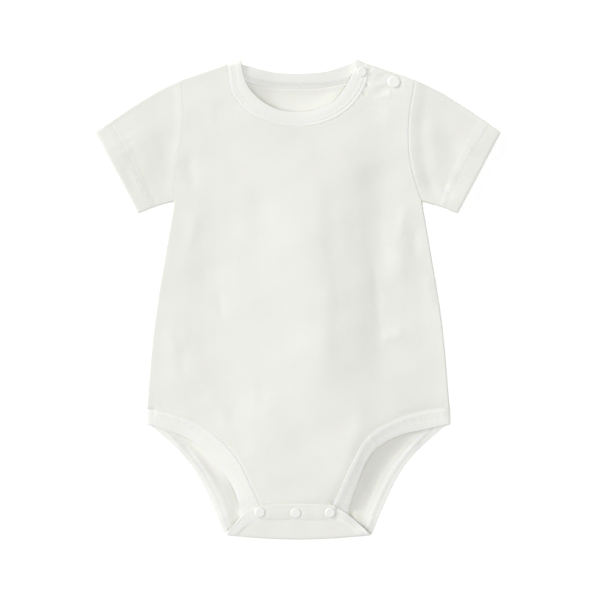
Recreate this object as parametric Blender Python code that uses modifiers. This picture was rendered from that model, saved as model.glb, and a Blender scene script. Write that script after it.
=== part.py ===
"""A short-sleeved baby bodysuit in cotton interlock, laid flat on its back with every snap fastened.

Metres, +Z up. The garment lies on Z = 0 with its front up. +Y points to the neck and +X to the
wearer's left, and the origin is under the middle of the whole outline.

The cloth is two layers that meet at the outline. The upper layer's height above the table is one
field over x and y, upper(), and the lower layer's is another, lower(). Both panels, both sleeves
and the bands read their heights from these fields, so they meet at every seam. The back panel is
longer than the front: at the crotch it turns up and lies on the front as a flap.

Tables and sizes are in millimetres, and MM scales them as each mesh is made.
"""

import math

import bpy
import numpy as np
from mathutils import Vector

MM = 0.001
CURVE_STEPS = 40  # points on a smooth curve for each point in its table
OUTLINE_STEPS = 24  # points on each stretch of the outline that heights are measured from
SNAP_STEPS = 20  # sides of a snap's cap

# Cloth
WALL = 1.2  # a panel's single layer
BAND = 2.0  # doubled rib of the neck band and leg bindings
HEM = 1.7  # a sleeve's turned hem
GAP = 0.3  # between two pieces at a seam
ARMHOLE_GAP = 0.6  # along a sleeve's edges, which is less across the seam
TURNED_GAP = 0.4  # between the front and the back at the outline, where both walls stand on edge
TURN = 5.0  # how far in from the outline the cloth takes to turn over
SEAM_HEIGHT = 3.3  # side and shoulder seams above the table
SEAM_GAP = 0.5  # from a band to its panel: a band's wall leans where the cloth slopes

# The outline of the wearer's left half. The right half mirrors it.
NECK_POINT = (51.0, 211.5)
BAND_CROSSING = (63.0, 207.3)  # where the neck seam meets the shoulder
SHOULDER_TIP = (102.5, 193.7)
SLEEVE_TOP = (SHOULDER_TIP, (123.0, 183.0), (144.0, 170.0), (178.0, 147.0))
SLEEVE_UNDER = ((109.0, 86.5), (125.0, 83.0), (140.5, 77.0))
CUFF_DEPTH = 15.0  # width of a sleeve's hem
SIDE = ((133.4, -95.0), (126.4, -19.0), (116.3, 44.0), (109.0, 86.5))
SIDE_CORNER = (133.4, -108.0)

# Seam lines between pieces, and the bands' free edges
ARMHOLE = {
    "left": ((109.0, 86.5), (102.4, 105.0), (97.8, 126.0), (96.8, 152.0), (102.5, 193.7)),
    "right": ((-109.0, 86.5), (-108.4, 103.0), (-104.0, 132.0), (-101.0, 158.0), (-102.5, 193.7)),
}
NECK_SEAM = (
    (-61.6, 202.6), (-57.2, 180.4), (-44.0, 165.4), (-26.0, 156.5), (-6.0, 152.3),
    (17.6, 154.0), (35.2, 161.0), (50.2, 173.4), (59.5, 189.0), (63.0, 202.3),
)
NECK_EDGE = (
    (-49.6, 206.7), (-48.0, 198.0), (-44.0, 187.4), (-34.0, 176.2), (-18.0, 167.8), (0.0, 165.2),
    (17.6, 167.2), (30.8, 173.4), (39.6, 183.0), (46.0, 194.0), (51.8, 205.2),
)
BACK_NECK_SEAM = ((-61.6, 202.6), (-46.0, 192.5), (-24.0, 187.4), (0.0, 186.2))
BACK_NECK_EDGE = ((-49.6, 206.7), (-40.5, 204.6), (-24.6, 201.3), (0.0, 199.3))
LEG_SEAM = {
    "left": (
        (28.5, -196.0), (30.0, -184.0), (37.0, -169.0), (49.3, -142.6),
        (59.8, -123.2), (79.2, -109.1), (105.0, -99.6), (133.4, -95.0),
    ),
    "right": (
        (-32.5, -196.0), (-33.8, -182.0), (-42.2, -162.8), (-54.6, -139.0),
        (-66.0, -125.8), (-85.6, -111.0), (-107.4, -101.6), (-133.4, -95.0),
    ),
}
LEG_EDGE = {
    "left": (
        (43.6, -196.0), (44.4, -184.0), (52.0, -162.8), (62.0, -139.0),
        (72.0, -127.0), (90.0, -118.6), (112.0, -113.2), (128.6, -109.6),
    ),
    "right": (
        (-51.5, -196.0), (-53.0, -180.0), (-61.5, -159.0), (-74.5, -143.0),
        (-86.5, -129.0), (-104.0, -118.6), (-116.2, -114.6), (-128.6, -109.6),
    ),
}
BACK_LEG_SEAM = ((133.4, -95.0), (104.7, -120.5), (81.5, -148.5), (68.0, -174.0), (57.4, -203.0))
BACK_LEG_EDGE = (
    (128.6, -111.0), (105.5, -132.0), (92.7, -147.8), (83.1, -163.7), (75.8, -179.5), (65.8, -203.0),
)
# How far inside the outline's corners the bands turn over, in x and in y
NECK_CORNER_INSET = (0.3, 1.0)
LEG_SEAM_INSET = (1.0, 0.6)
LEG_CORNER_INSET = (1.3, 0.5)

# The crotch: where the back panel turns up, and the flap that it makes
FOLD_Y = -210.4  # the fold's lowest point, at the middle
FOLD_BOW = 4.0  # how much higher the fold ends, at the leg edges
FOLD_HALF = 64.0
FOLD_RADIUS = 3.5  # outer radius of the fold, half the flap's height above the table
FLAP_TOP_Y = -179.0
FLAP_SEAM = {
    "left": ((28.4, -193.0), (38.0, -194.5), (45.0, -199.0), (52.6, -205.6)),
    "right": ((-31.4, -193.3), (-38.0, -194.5), (-46.0, -198.5), (-54.4, -205.6)),
}
FLAP_EDGE = {
    "left": ((28.4, -180.0), (35.5, -182.6), (43.0, -187.4), (53.0, -196.4), (61.5, -203.6)),
    "right": ((-31.4, -179.3), (-39.0, -181.2), (-47.0, -186.3), (-55.0, -196.5), (-61.5, -203.6)),
}
PLACKET = {"x_right": -37.8, "x_left": 33.4, "y_top": -178.9, "y_bottom": -192.9}
FLAP_BAND_PROUD = 0.6  # how far the leg bindings stand above the flap
PLACKET_HEIGHT = 2 * FOLD_RADIUS + FLAP_BAND_PROUD + GAP  # the placket's underside, on those bindings

# The opening on the wearer's left shoulder
FRONT_LAP = 1.6  # how far the front's edge lies inside the outline there
UNDERLAP = {"from": 0.04, "to": 0.86, "depth": 13.0, "height": 4.15}  # a strip between the layers
TUCK = {"length": 13.0, "height": 4.4}  # the neck band's back end, under its front end

# Height of the upper cloth above the table, a row for each y and a column for each x
HEIGHT_X = (-150.0, -100.0, -62.0, -20.0, 18.0, 60.0, 100.0, 150.0)
HEIGHTS = (
    (205.0, (6.4, 6.6, 7.6, 8.0, 8.0, 7.7, 7.4, 6.6)),
    (165.0, (8.0, 7.0, 9.6, 9.0, 8.4, 8.6, 8.8, 8.2)),
    (120.0, (8.8, 7.2, 8.0, 9.8, 9.6, 7.8, 9.9, 8.8)),
    (60.0, (7.6, 7.0, 7.2, 11.2, 10.4, 6.6, 7.6, 7.6)),
    (0.0, (7.0, 7.4, 8.2, 12.2, 11.2, 6.4, 7.4, 7.0)),
    (-60.0, (7.0, 7.8, 9.2, 12.6, 11.8, 7.4, 7.8, 7.0)),
    (-105.0, (6.0, 8.6, 9.6, 12.2, 12.2, 10.4, 9.4, 6.0)),
    (-140.0, (6.0, 8.0, 8.8, 10.8, 12.2, 12.8, 12.0, 6.0)),
    (-168.0, (5.0, 6.6, 6.8, 7.2, 7.8, 8.8, 9.0, 5.0)),
    (-184.0, (4.4, 4.4, 4.4, 4.5, 4.6, 4.6, 4.6, 4.4)),
    (-200.0, (4.4, 4.4, 4.4, 4.4, 4.4, 4.4, 4.4, 4.4)),
)

# The largest folds of the upper cloth: a ridge has a height above 0 and a trough one below it
FOLDS = {
    "trough down the left side": {"a": (48.0, 110.0), "b": (50.0, -70.0), "width": 15.0, "height": -1.6},
    "trough on the left sleeve": {"a": (107.0, 165.0), "b": (111.0, 100.0), "width": 6.5, "height": -2.4},
    "ridge along the armhole": {"a": (-104.0, 135.0), "b": (-108.0, 102.0), "width": 5.0, "height": 1.2},
    "hollow under the arm": {"a": (-80.0, 85.0), "b": (-78.0, 40.0), "width": 16.0, "height": -1.4},
    "hollow above the left hip": {"a": (76.0, -72.0), "b": (116.0, -78.0), "width": 13.0, "height": -1.4},
    "ridge beside the shoulder snap": {"a": (76.0, 176.0), "b": (82.0, 158.0), "width": 8.0, "height": 1.2},
}

# Snap caps: x and y of the centre, the cap's radius and its height
SNAPS = {
    "snap_neck": {"x": 56.3, "y": 200.2, "radius": 4.6, "rise": 1.8, "on": "band"},
    "snap_shoulder": {"x": 84.5, "y": 191.4, "radius": 5.7, "rise": 2.4, "on": "front"},
    "snap_crotch_right": {"x": -33.2, "y": -186.2, "radius": 4.8, "rise": 2.0, "on": "placket"},
    "snap_crotch_middle": {"x": -1.8, "y": -187.0, "radius": 4.8, "rise": 2.0, "on": "placket"},
    "snap_crotch_left": {"x": 28.4, "y": -186.6, "radius": 4.6, "rise": 2.0, "on": "placket"},
}
# A cap's half section, from its top to the middle of its underside: shares of its radius and rise
SNAP_PROFILE = ((0.0, 1.0), (0.45, 0.95), (0.8, 0.72), (0.97, 0.4), (1.0, 0.12), (0.96, 0.0), (0.0, 0.0))
SNAP_REACH = 4.0  # a cap sits square to the cloth's slope over this distance each way


# Curves


def hermite(knots, values, at):
    """The smooth curve through values at the knots, read at these places.

    Each span is a cubic, and each knot's slope is that of the parabola through it and its neighbours.
    """
    knots = np.asarray(knots, float)
    values = np.asarray(values, float)
    slopes = np.gradient(values, knots, axis=0)
    i = np.clip(np.searchsorted(knots, at, side="right") - 1, 0, len(knots) - 2)
    span = (knots[i + 1] - knots[i])[:, None]
    t = (at - knots[i])[:, None] / span
    return (
        (1 + 2 * t) * (1 - t) ** 2 * values[i]
        + t * (1 - t) ** 2 * span * slopes[i]
        + t * t * (3 - 2 * t) * values[i + 1]
        + t * t * (t - 1) * span * slopes[i + 1]
    )


def run_of(points):
    """Distance along a chain of points, from its start to each."""
    return np.append(0, np.cumsum(np.linalg.norm(np.diff(points, axis=0), axis=1)))


def smooth(points):
    """Close points on the smooth curve through a table's points."""
    knots = run_of(np.array(points, float))
    return hermite(knots, points, np.linspace(0, knots[-1], CURVE_STEPS * len(points)))


def along(points, fractions):
    """Points at these fractions of the length of the smooth curve through a table's points."""
    fine = smooth(points)
    run = run_of(fine)
    at = np.asarray(fractions) * run[-1]
    return np.stack([np.interp(at, run, axis) for axis in fine.T], axis=1)


def border(parts, stops, fractions):
    """A border of several curves end to end, each filling the fractions between two stops."""
    points = np.empty((len(fractions), 2))
    for part, start, end in zip(parts, stops, stops[1:]):
        inside = (fractions >= start) & (fractions <= end)
        points[inside] = along(part, (fractions[inside] - start) / (end - start))
    return points


def steps(stops, counts):
    """Fractions that divide each stretch between two stops into its count of equal steps."""
    stretches = [
        np.linspace(start, end, count, endpoint=False)
        for start, end, count in zip(stops, stops[1:], counts)
    ]
    return np.append(np.concatenate(stretches), stops[-1])


def unit(vectors):
    return vectors / np.linalg.norm(vectors, axis=-1, keepdims=True)


# Heights


def edge_distance(x, y):
    """Distance in plan to the nearest turned edge: shoulder and sleeve top, or sleeve under and side."""
    point = np.stack([np.abs(x), y], axis=-1)[..., None, :]
    best = np.full(np.shape(x), np.inf)
    even = np.linspace(0, 1, OUTLINE_STEPS)
    side = np.vstack([SIDE_CORNER, along(SIDE, even)])
    under = along(SLEEVE_UNDER, even)
    top = np.vstack([NECK_POINT, along(SLEEVE_TOP, even)])
    for line in (side, under, top):
        start = line[:-1]
        run = np.diff(line, axis=0)
        t = np.clip(((point - start) * run).sum(-1) / (run * run).sum(-1), 0, 1)
        near = np.linalg.norm(point - start - t[..., None] * run, axis=-1)
        best = np.minimum(best, near.min(axis=-1))
    return best


def turned(distance):
    """How far the cloth has turned over at this distance from the outline: a quarter oval, 0 to 1."""
    t = np.clip(distance / TURN, 0, 1)
    return np.sqrt(1 - (1 - t) ** 2)


def relief(x, y):
    """The upper cloth's height away from the outline: the table of heights, and the folds on it."""
    rows = [row[0] for row in HEIGHTS][::-1]
    table = np.array([row[1] for row in HEIGHTS][::-1])
    flat_x = np.clip(np.ravel(x), HEIGHT_X[0], HEIGHT_X[-1])
    flat_y = np.clip(np.ravel(y), rows[0], rows[-1])
    by_row = hermite(rows, np.eye(len(rows)), flat_y)
    by_column = hermite(HEIGHT_X, np.eye(len(HEIGHT_X)), flat_x)
    height = np.einsum("ni,ij,nj->n", by_row, table, by_column).reshape(np.shape(x))
    for fold in FOLDS.values():
        start = np.array(fold["a"])
        run = np.array(fold["b"]) - start
        point = np.stack([x, y], axis=-1) - start
        t = np.clip((point @ run) / (run @ run), 0, 1)
        away = np.linalg.norm(point - t[..., None] * run, axis=-1)
        height = height + fold["height"] * np.exp(-((away / fold["width"]) ** 2))
    return height


def upper(x, y):
    """Height of the upper layer's outer face."""
    seam = SEAM_HEIGHT + TURNED_GAP / 2
    return seam + (relief(x, y) - seam) * turned(edge_distance(x, y))


def lower(x, y):
    """Height of the lower layer's outer face, which is flat on the table away from the outline."""
    return (SEAM_HEIGHT - TURNED_GAP / 2) * (1 - turned(edge_distance(x, y)))


def fold_start(x):
    """Where the back panel starts to turn up, in y, at each x."""
    return FOLD_Y + FOLD_BOW * np.minimum(np.abs(x) / FOLD_HALF, 1) ** 2 + FOLD_RADIUS


def unfolded(points):
    """A flap's points as they would lie if the back panel were laid out straight, past its fold."""
    x, y = np.array(points, float).T
    return np.column_stack([x, 2 * fold_start(x) - math.pi * FOLD_RADIUS - y])


def folded_up(x, s, lift):
    """A point of the unfolded back panel in its real place, lift above the panel's outer face.

    Past the fold's start it goes round half a circle and then lies upside down on the front.
    """
    start = fold_start(x)
    turn = np.clip((start - s) / FOLD_RADIUS, 0, math.pi)
    past = np.maximum(start - s - math.pi * FOLD_RADIUS, 0)
    y = np.maximum(s, start) - (FOLD_RADIUS - lift) * np.sin(turn) + past
    z = FOLD_RADIUS - (FOLD_RADIUS - lift) * np.cos(turn)
    return np.stack([x, y, z], axis=-1)


# Meshes


def cotton(name):
    """Off-white cotton interlock."""
    material = bpy.data.materials.new(name + "_cotton")
    material.use_nodes = True
    shader = material.node_tree.nodes["Principled BSDF"]
    shader.inputs["Base Color"].default_value = (0.84, 0.85, 0.81, 1)
    shader.inputs["Roughness"].default_value = 0.95
    shader.inputs["Metallic"].default_value = 0.0
    return material


def moulded(name):
    """White moulded plastic of a snap's cap."""
    material = bpy.data.materials.new(name + "_plastic")
    material.use_nodes = True
    shader = material.node_tree.nodes["Principled BSDF"]
    shader.inputs["Base Color"].default_value = (0.86, 0.87, 0.85, 1)
    shader.inputs["Roughness"].default_value = 0.4
    shader.inputs["Metallic"].default_value = 0.0
    return material


def mesh_object(name, grid, material, closed=False):
    """A sheet of quads through a grid of points. closed joins its last column to its first."""
    rows, columns = grid.shape[:2]
    index = np.arange(rows * columns).reshape(rows, columns)
    if closed:
        index = np.column_stack([index, index[:, :1]])
    quads = np.stack([index[:-1, :-1], index[:-1, 1:], index[1:, 1:], index[1:, :-1]], axis=-1)
    mesh = bpy.data.meshes.new(name)
    mesh.from_pydata((grid.reshape(-1, 3) * MM).tolist(), [], quads.reshape(-1, 4).tolist())
    mesh.materials.append(material)
    mesh.shade_smooth()
    made = bpy.data.objects.new(name, mesh)
    garment.objects.link(made)
    return made


def thicken(made, wall, offset):
    """Gives a sheet its wall: offset -1 goes inwards from the face, and 0 to both sides."""
    solid = made.modifiers.new("Wall", "SOLIDIFY")
    solid.thickness = wall * MM
    solid.offset = offset
    return solid


def patch(bottom, top, left, right, u, v):
    """A grid in plan between four borders: straight from bottom to top, plus what each side bulges.

    v is each row's fraction of the way up the straight lines. The bulge is the side's border less
    the straight line between its ends, and it fades inwards as the fourth power of the distance.
    """
    v = v[:, None, None]
    ruled = (1 - v) * bottom[None] + v * top[None]
    left_bulge = (left - ruled[:, 0])[:, None] * (1 - u[None, :, None]) ** 4
    right_bulge = (right - ruled[:, -1])[:, None] * u[None, :, None] ** 4
    return ruled + left_bulge + right_bulge


# The grids: columns and rows are close together where the cloth turns over at the outline,
# at equal steps of the turn's angle after a first small one.
TURN_ANGLES = np.radians((0, 7, 24, 45, 67, 90))
TURN_STOPS = 1 - np.cos(TURN_ANGLES)
ONES = (1,) * (len(TURN_STOPS) - 1)


def turn_stops(share, end):
    """Stops for the turn at a grid's start, where it takes this share, or the same at its end."""
    stops = share * TURN_STOPS
    return tuple(1 - stops[::-1]) if end else tuple(stops)


NECK_STOPS = (0.0, 0.2, 0.8, 1.0)  # shoulder, neck, shoulder
NECK_ENDS = (0.215, 0.785)  # where the neck band leaves the table's layers to turn over the shoulder
NECK_COUNT = 22
PANEL_WIDTH, FRONT_LENGTH, BACK_LENGTH = 240.0, 345.0, 400.0  # about, to size the turns' shares
PANEL_U = steps(
    turn_stops(TURN / PANEL_WIDTH, False) + (0.2, *NECK_ENDS, 0.8) + turn_stops(TURN / PANEL_WIDTH, True),
    (*ONES, 3, 1, NECK_COUNT, 1, 3, *ONES),
)
NECK_FIRST = int(np.argmin(np.abs(PANEL_U - NECK_ENDS[0])))
BAND_COLUMNS = slice(NECK_FIRST, NECK_FIRST + NECK_COUNT + 1)

LEG_TURN = 0.036  # the share of a front leg seam that turns over at the side
LEG_COUNT = 12
LEG_FRACTIONS = np.append(LEG_TURN * TURN_STOPS[:-1], np.linspace(LEG_TURN, 1, LEG_COUNT + 1))
FRONT_STOPS = (0.0, 0.63, 1.0)  # side, armhole
FRONT_V = steps(FRONT_STOPS[:2] + turn_stops(TURN / FRONT_LENGTH, True), (16, 9, *ONES))
BACK_STOPS = (0.0, 0.03, 0.1, 0.14, 0.42, 0.78, 1.0)  # flap side, flap seam, fold, leg seam, side, armhole
BACK_MIDDLE = (0.0, 0.028, 0.0646, 0.09, 0.349, 0.769, 1.0)  # the same rows down the back's middle
BACK_LEG_COUNTS = (2, 3, 6, 11)
BACK_V = steps(
    BACK_STOPS[:4] + (0.41,) + BACK_STOPS[4:6] + turn_stops(TURN / BACK_LENGTH, True),
    (*BACK_LEG_COUNTS, 1, 9, 7, *ONES),
)
BACK_BAND_ROWS = slice(BACK_LEG_COUNTS[0], sum(BACK_LEG_COUNTS) + 1)


def sided(points, side):
    """A table for the wearer's left half, or its mirror on the right."""
    return [(x if side == "left" else -x, y) for x, y in points]


def inside_shoulder(fractions, inset):
    """Points on the left shoulder's line, from the neck seam to the tip, moved in from the outline."""
    start = np.array(BAND_CROSSING)
    run = np.array(SHOULDER_TIP) - start
    inwards = unit(np.array([run[1], -run[0]]))
    return start + np.multiply.outer(fractions, run) + np.multiply.outer(inset, inwards)


def front_leg(side):
    """The front's leg seam in plan, from the side to the tab."""
    return along(LEG_SEAM[side][::-1], LEG_FRACTIONS)


def front_bottom():
    """The front's lower edge in plan, column by column: right leg seam, tab edge, left leg seam."""
    right, left = front_leg("right"), front_leg("left")
    tab_count = len(PANEL_U) + 1 - len(right) - len(left)
    tab = along((right[-1], left[-1]), np.linspace(0, 1, tab_count + 1))
    return np.vstack([right, tab[1:-1], left[::-1]])


def back_border(side):
    """The back's side edge, unfolded: flap side, flap seam, fold, leg seam, side and armhole."""
    x = FLAP_SEAM[side][0][0]
    x = x - math.copysign(GAP, x)
    flap_side = unfolded([(x, FLAP_TOP_Y), (x, FLAP_SEAM[side][0][1])])
    flap_seam = np.vstack([flap_side[-1:], unfolded(FLAP_SEAM[side][1:])])
    leg_seam = sided(BACK_LEG_SEAM[::-1], side)
    fold = (flap_seam[-1], leg_seam[0])
    parts = (flap_side, flap_seam, fold, leg_seam, sided(SIDE, side), ARMHOLE[side])
    return border(parts, BACK_STOPS, BACK_V)


def front_top():
    """The front's top edge in plan, column by column: closed shoulder, neck seam, open shoulder."""
    lap = np.array((FRONT_LAP, FRONT_LAP, FRONT_LAP, 0.0))
    open_shoulder = inside_shoulder(np.array((UNDERLAP["from"], 0.25, 0.75, 1.0)), lap)
    closed_shoulder = sided((SHOULDER_TIP, BAND_CROSSING), "right")
    neck = [closed_shoulder[-1], *NECK_SEAM, tuple(open_shoulder[0])]
    return border((closed_shoulder, neck, open_shoulder), NECK_STOPS, PANEL_U)


def back_top():
    """The back's top edge in plan, column by column."""
    half_neck = [BAND_CROSSING, *sided(BACK_NECK_SEAM, "right")]
    neck = sided(half_neck, "right") + half_neck[-2::-1]
    shoulders = {side: sided((SHOULDER_TIP, BAND_CROSSING), side) for side in ("right", "left")}
    return border((shoulders["right"], neck, shoulders["left"][::-1]), NECK_STOPS, PANEL_U)


def front_panel():
    """The front: tab edge, leg seams, sides, armholes, shoulders and neck seam."""
    right, left = (
        border((sided(SIDE, side), ARMHOLE[side]), FRONT_STOPS, FRONT_V) for side in ("right", "left")
    )
    x, y = np.moveaxis(patch(front_bottom(), front_top(), right, left, PANEL_U, FRONT_V), -1, 0)
    made = mesh_object("front_panel", np.dstack([x, y, upper(x, y)]), cotton("front_panel"))
    thicken(made, WALL, -1)


def back_panel():
    """The back, drawn straight past the fold and then turned up there: flap, leg seams, sides and neck."""
    right, left = back_border("right"), back_border("left")
    bottom = along((right[0], left[0]), PANEL_U)
    rows = np.interp(BACK_V, BACK_STOPS, BACK_MIDDLE)
    x, s = np.moveaxis(patch(bottom, back_top(), right, left, PANEL_U, rows), -1, 0)
    points = folded_up(x, s, 0.0)
    points[..., 2] += np.where(s > fold_start(x), lower(x, s), 0.0)
    made = mesh_object("back_panel", points[:, ::-1], cotton("back_panel"))
    thicken(made, WALL, -1)


# Sleeves: rings from the armhole to the cuff, each round both layers

SLEEVE_WIDTH = 100.0  # about, to size the turns' shares
RING_W = steps(
    turn_stops(TURN / SLEEVE_WIDTH, False) + turn_stops(TURN / SLEEVE_WIDTH, True), (*ONES, 7, *ONES)
)
# Rings by stage: 0 is the armhole, 1 the hem's stitching and 2 the cuff
SLEEVE_STAGES = np.append(np.linspace(0, 1, 7), (1.03, 1.5, 2.0))


def sleeve_edge(line):
    """The points where the rings meet one edge of the sleeve, from just outside the armhole."""
    length = run_of(smooth(line))[-1]
    at = np.interp(SLEEVE_STAGES, (0, 1, 2), (0, length - CUFF_DEPTH, length))
    return along(line, np.maximum(at, ARMHOLE_GAP) / length)


def sleeve(side):
    """One sleeve: a flat tube between its turned top and its underarm, ending in a thicker hem.

    It is drawn on the wearer's left and mirrored for the right. The rings' bow is the armhole's own,
    and it fades to none at the cuff.
    """
    top, under = sleeve_edge(SLEEVE_TOP), sleeve_edge(SLEEVE_UNDER)
    seam = along(sided(ARMHOLE[side], side), RING_W[::-1])
    straight = seam[0] + (seam[-1] - seam[0]) * RING_W[:, None]
    bow = (seam - straight)[None] * (1 - SLEEVE_STAGES / 2)[:, None, None] ** 1.5
    across = top[:, None] + (under - top)[:, None] * RING_W[None, :, None] + bow
    x, y = across[..., 0], across[..., 1]
    over = np.dstack([x, y, upper(x, y)])
    beneath = np.dstack([x, y, lower(x, y)])[:, -2:0:-1]
    grid = np.concatenate([over, beneath], axis=1)
    if side == "right":
        grid = grid[:, ::-1] * (-1, 1, 1)
    name = "sleeve_" + side
    made = mesh_object(name, grid, cotton(name), closed=True)
    solid = thicken(made, HEM, -1)
    group = made.vertex_groups.new(name="hem")
    columns = grid.shape[1]
    first = int(np.argmax(SLEEVE_STAGES > 1)) * columns
    group.add(list(range(first, grid.shape[0] * columns)), 1.0, "REPLACE")
    solid.vertex_group = group.name
    solid.thickness_vertex_group = WALL / HEM


# Bands: strips between a free edge and a seam


def over_edge(start, corner, end, count):
    """Carries a rail round the outline from one layer to the other, on half an oval out to the corner."""
    angle = np.linspace(0, math.pi, count + 2)[1:-1, None]
    near = np.where(angle < math.pi / 2, start, end)
    plan = near[:, :2] + (np.array(corner) - near[:, :2]) * np.sin(angle)
    z = (start[2] + end[2]) / 2 + (start[2] - end[2]) / 2 * np.cos(angle)
    return np.column_stack([plan, z])


def on_upper(points):
    """Plan points at the middle of the upper layer's wall."""
    x, y = points.T
    return np.column_stack([points, relief(x, y) - WALL / 2])


def at_height(points, z):
    return np.column_stack([points, np.full(len(points), z)])


def band(name, edge, seam):
    """A strip of doubled rib between two rails with as many points each, kept clear of its seam."""
    seam = seam + unit(edge - seam) * SEAM_GAP
    grid = np.stack([seam, (seam + edge) / 2, edge], axis=1)
    made = mesh_object(name, grid, cotton(name))
    thicken(made, BAND, 0)


def neck_rail(front, back, corner):
    """One edge of the neck band, from its front end on the left shoulder to its tucked back end.

    front and back are plan points from right to left. The rail runs back along the front, over the
    right shoulder, along the back, and over the left shoulder to lie under its own front end.
    """
    front = on_upper(front[::-1])
    back = at_height(back, BAND / 2)
    inwards = back[-1, :2] - corner
    reach = np.linalg.norm(inwards)
    tuck = corner + np.multiply.outer(np.linspace(reach, TUCK["length"], 3), inwards / reach)
    tuck = at_height(tuck, TUCK["height"])
    over_right = over_edge(front[-1], corner * (-1, 1), back[0], 6)
    over_left = over_edge(back[-1], corner, tuck[0], 5)
    return np.vstack([front, over_right, back, over_left, tuck])


def neck_band():
    """The strip of doubled rib round the neck. Its seam edge takes its points from the panels' edges."""
    even = np.linspace(0, 1, NECK_COUNT + 1)
    back_edge = list(BACK_NECK_EDGE) + sided(BACK_NECK_EDGE[-2::-1], "right")
    edge_corner = np.subtract(NECK_POINT, NECK_CORNER_INSET)
    seam_corner = np.subtract(BAND_CROSSING, NECK_CORNER_INSET)
    edge = neck_rail(along(NECK_EDGE, even), along(back_edge, even), edge_corner)
    seam = neck_rail(front_top()[BAND_COLUMNS], back_top()[BAND_COLUMNS], seam_corner)
    band("neck_band", edge, seam)


def leg_rail(front, rest, corner):
    """One edge of a leg binding: the front leg, round the side, then the back leg, fold and flap.

    rest is unfolded. Past the fold the strip stands prouder of the flap than of the back.
    """
    front = on_upper(front)
    x, s = rest.T
    turn = np.clip((fold_start(x) - s) / FOLD_RADIUS, 0, math.pi) / math.pi
    rest = folded_up(x, s, BAND / 2 - FLAP_BAND_PROUD * turn)
    return np.vstack([front, over_edge(front[-1], corner, rest[0], 5), rest])


def leg_binding(side):
    """The strip of doubled rib round one leg. Its seam edge takes its points from the panels' edges."""
    seam_corner, edge_corner = sided(
        (np.subtract(SIDE[0], LEG_SEAM_INSET), np.subtract(SIDE_CORNER, LEG_CORNER_INSET)), side
    )
    front_seam = front_leg(side)[len(ONES):][::-1]
    seam = leg_rail(front_seam, back_border(side)[BACK_BAND_ROWS][::-1], seam_corner)
    flap_count, fold_count, leg_count = BACK_LEG_COUNTS[1:]
    back = sided(BACK_LEG_EDGE, side)
    flap = unfolded(FLAP_EDGE[side][::-1])
    rest = [
        along(back, np.linspace(0, 1, leg_count + 1)),
        along((back[-1], flap[0]), np.linspace(0, 1, fold_count + 1))[1:],
        along(flap, np.linspace(0, 1, flap_count + 1))[1:],
    ]
    front = along(LEG_EDGE[side], np.linspace(0, 1, LEG_COUNT + 1))
    band("leg_binding_" + side, leg_rail(front, np.vstack(rest), edge_corner), seam)


# Strips on and under the panels, and the snaps


def shoulder_underlap():
    """The back shoulder's extension, flat under the front's edge."""
    t = np.linspace(UNDERLAP["from"], UNDERLAP["to"], 7)
    rows = [inside_shoulder(t, np.full(len(t), inset)) for inset in np.linspace(GAP, UNDERLAP["depth"], 3)]
    plan = np.stack(rows[::-1])
    grid = np.dstack([plan, np.full(plan.shape[:2], UNDERLAP["height"])])
    made = mesh_object("shoulder_underlap", grid, cotton("shoulder_underlap"))
    thicken(made, WALL, 0)


def crotch_placket():
    """The doubled strip along the flap's upper edge."""
    x = np.linspace(PLACKET["x_right"], PLACKET["x_left"], 11)
    y = np.linspace(PLACKET["y_bottom"], PLACKET["y_top"], 3)
    x, y = np.meshgrid(x, y)
    grid = np.dstack([x, y, np.full(x.shape, PLACKET_HEIGHT)])
    made = mesh_object("crotch_placket", grid, cotton("crotch_placket"))
    thicken(made, WALL, 1)


def snap(name, spec):
    """A moulded cap, turned from its profile and laid square on the cloth beneath it."""
    radius, rise = spec["radius"], spec["rise"]
    points = [(share * radius * MM, 0, height * rise * MM) for share, height in SNAP_PROFILE]
    mesh = bpy.data.meshes.new(name)
    mesh.from_pydata(points, [(i, i + 1) for i in range(len(points) - 1)], [])
    mesh.materials.append(moulded(name))
    made = bpy.data.objects.new(name, mesh)
    garment.objects.link(made)
    turn = made.modifiers.new("Turn", "SCREW")
    turn.steps = turn.render_steps = SNAP_STEPS
    turn.use_merge_vertices = True
    turn.merge_threshold = MM / 20
    x, y = spec["x"], spec["y"]
    if spec["on"] == "placket":
        made.location = (x * MM, y * MM, (PLACKET_HEIGHT + WALL + GAP) * MM)
        return
    proud = (BAND - WALL) / 2 if spec["on"] == "band" else 0.0
    reach = SNAP_REACH * np.array([0, 1, 0, -1, 0])
    z = upper(x + reach, y + np.roll(reach, 1))
    slope = Vector((z[3] - z[1], z[4] - z[2], 2 * SNAP_REACH))
    made.rotation_euler = slope.to_track_quat("Z", "Y").to_euler()
    made.location = (x * MM, y * MM, (z[0] + proud + GAP) * MM)


for old in list(bpy.data.objects):
    bpy.data.objects.remove(old, do_unlink=True)
garment = bpy.data.collections.new("baby_bodysuit")
bpy.context.scene.collection.children.link(garment)

front_panel()
back_panel()
for side in ("left", "right"):
    sleeve(side)
    leg_binding(side)
neck_band()
shoulder_underlap()
crotch_placket()
for name, spec in SNAPS.items():
    snap(name, spec)
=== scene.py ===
"""A short-sleeved baby bodysuit in cotton interlock, laid flat on its back with every snap fastened.

The sections follow the making: front, back, sleeves, neck band, leg bindings, shoulder underlap,
crotch placket and snaps. Tables are in millimetres, x to the wearer's left and y to the neck, and
MM scales them as each mesh is made. The garment lies on z = 0 with its front up.
"""

import math

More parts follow.
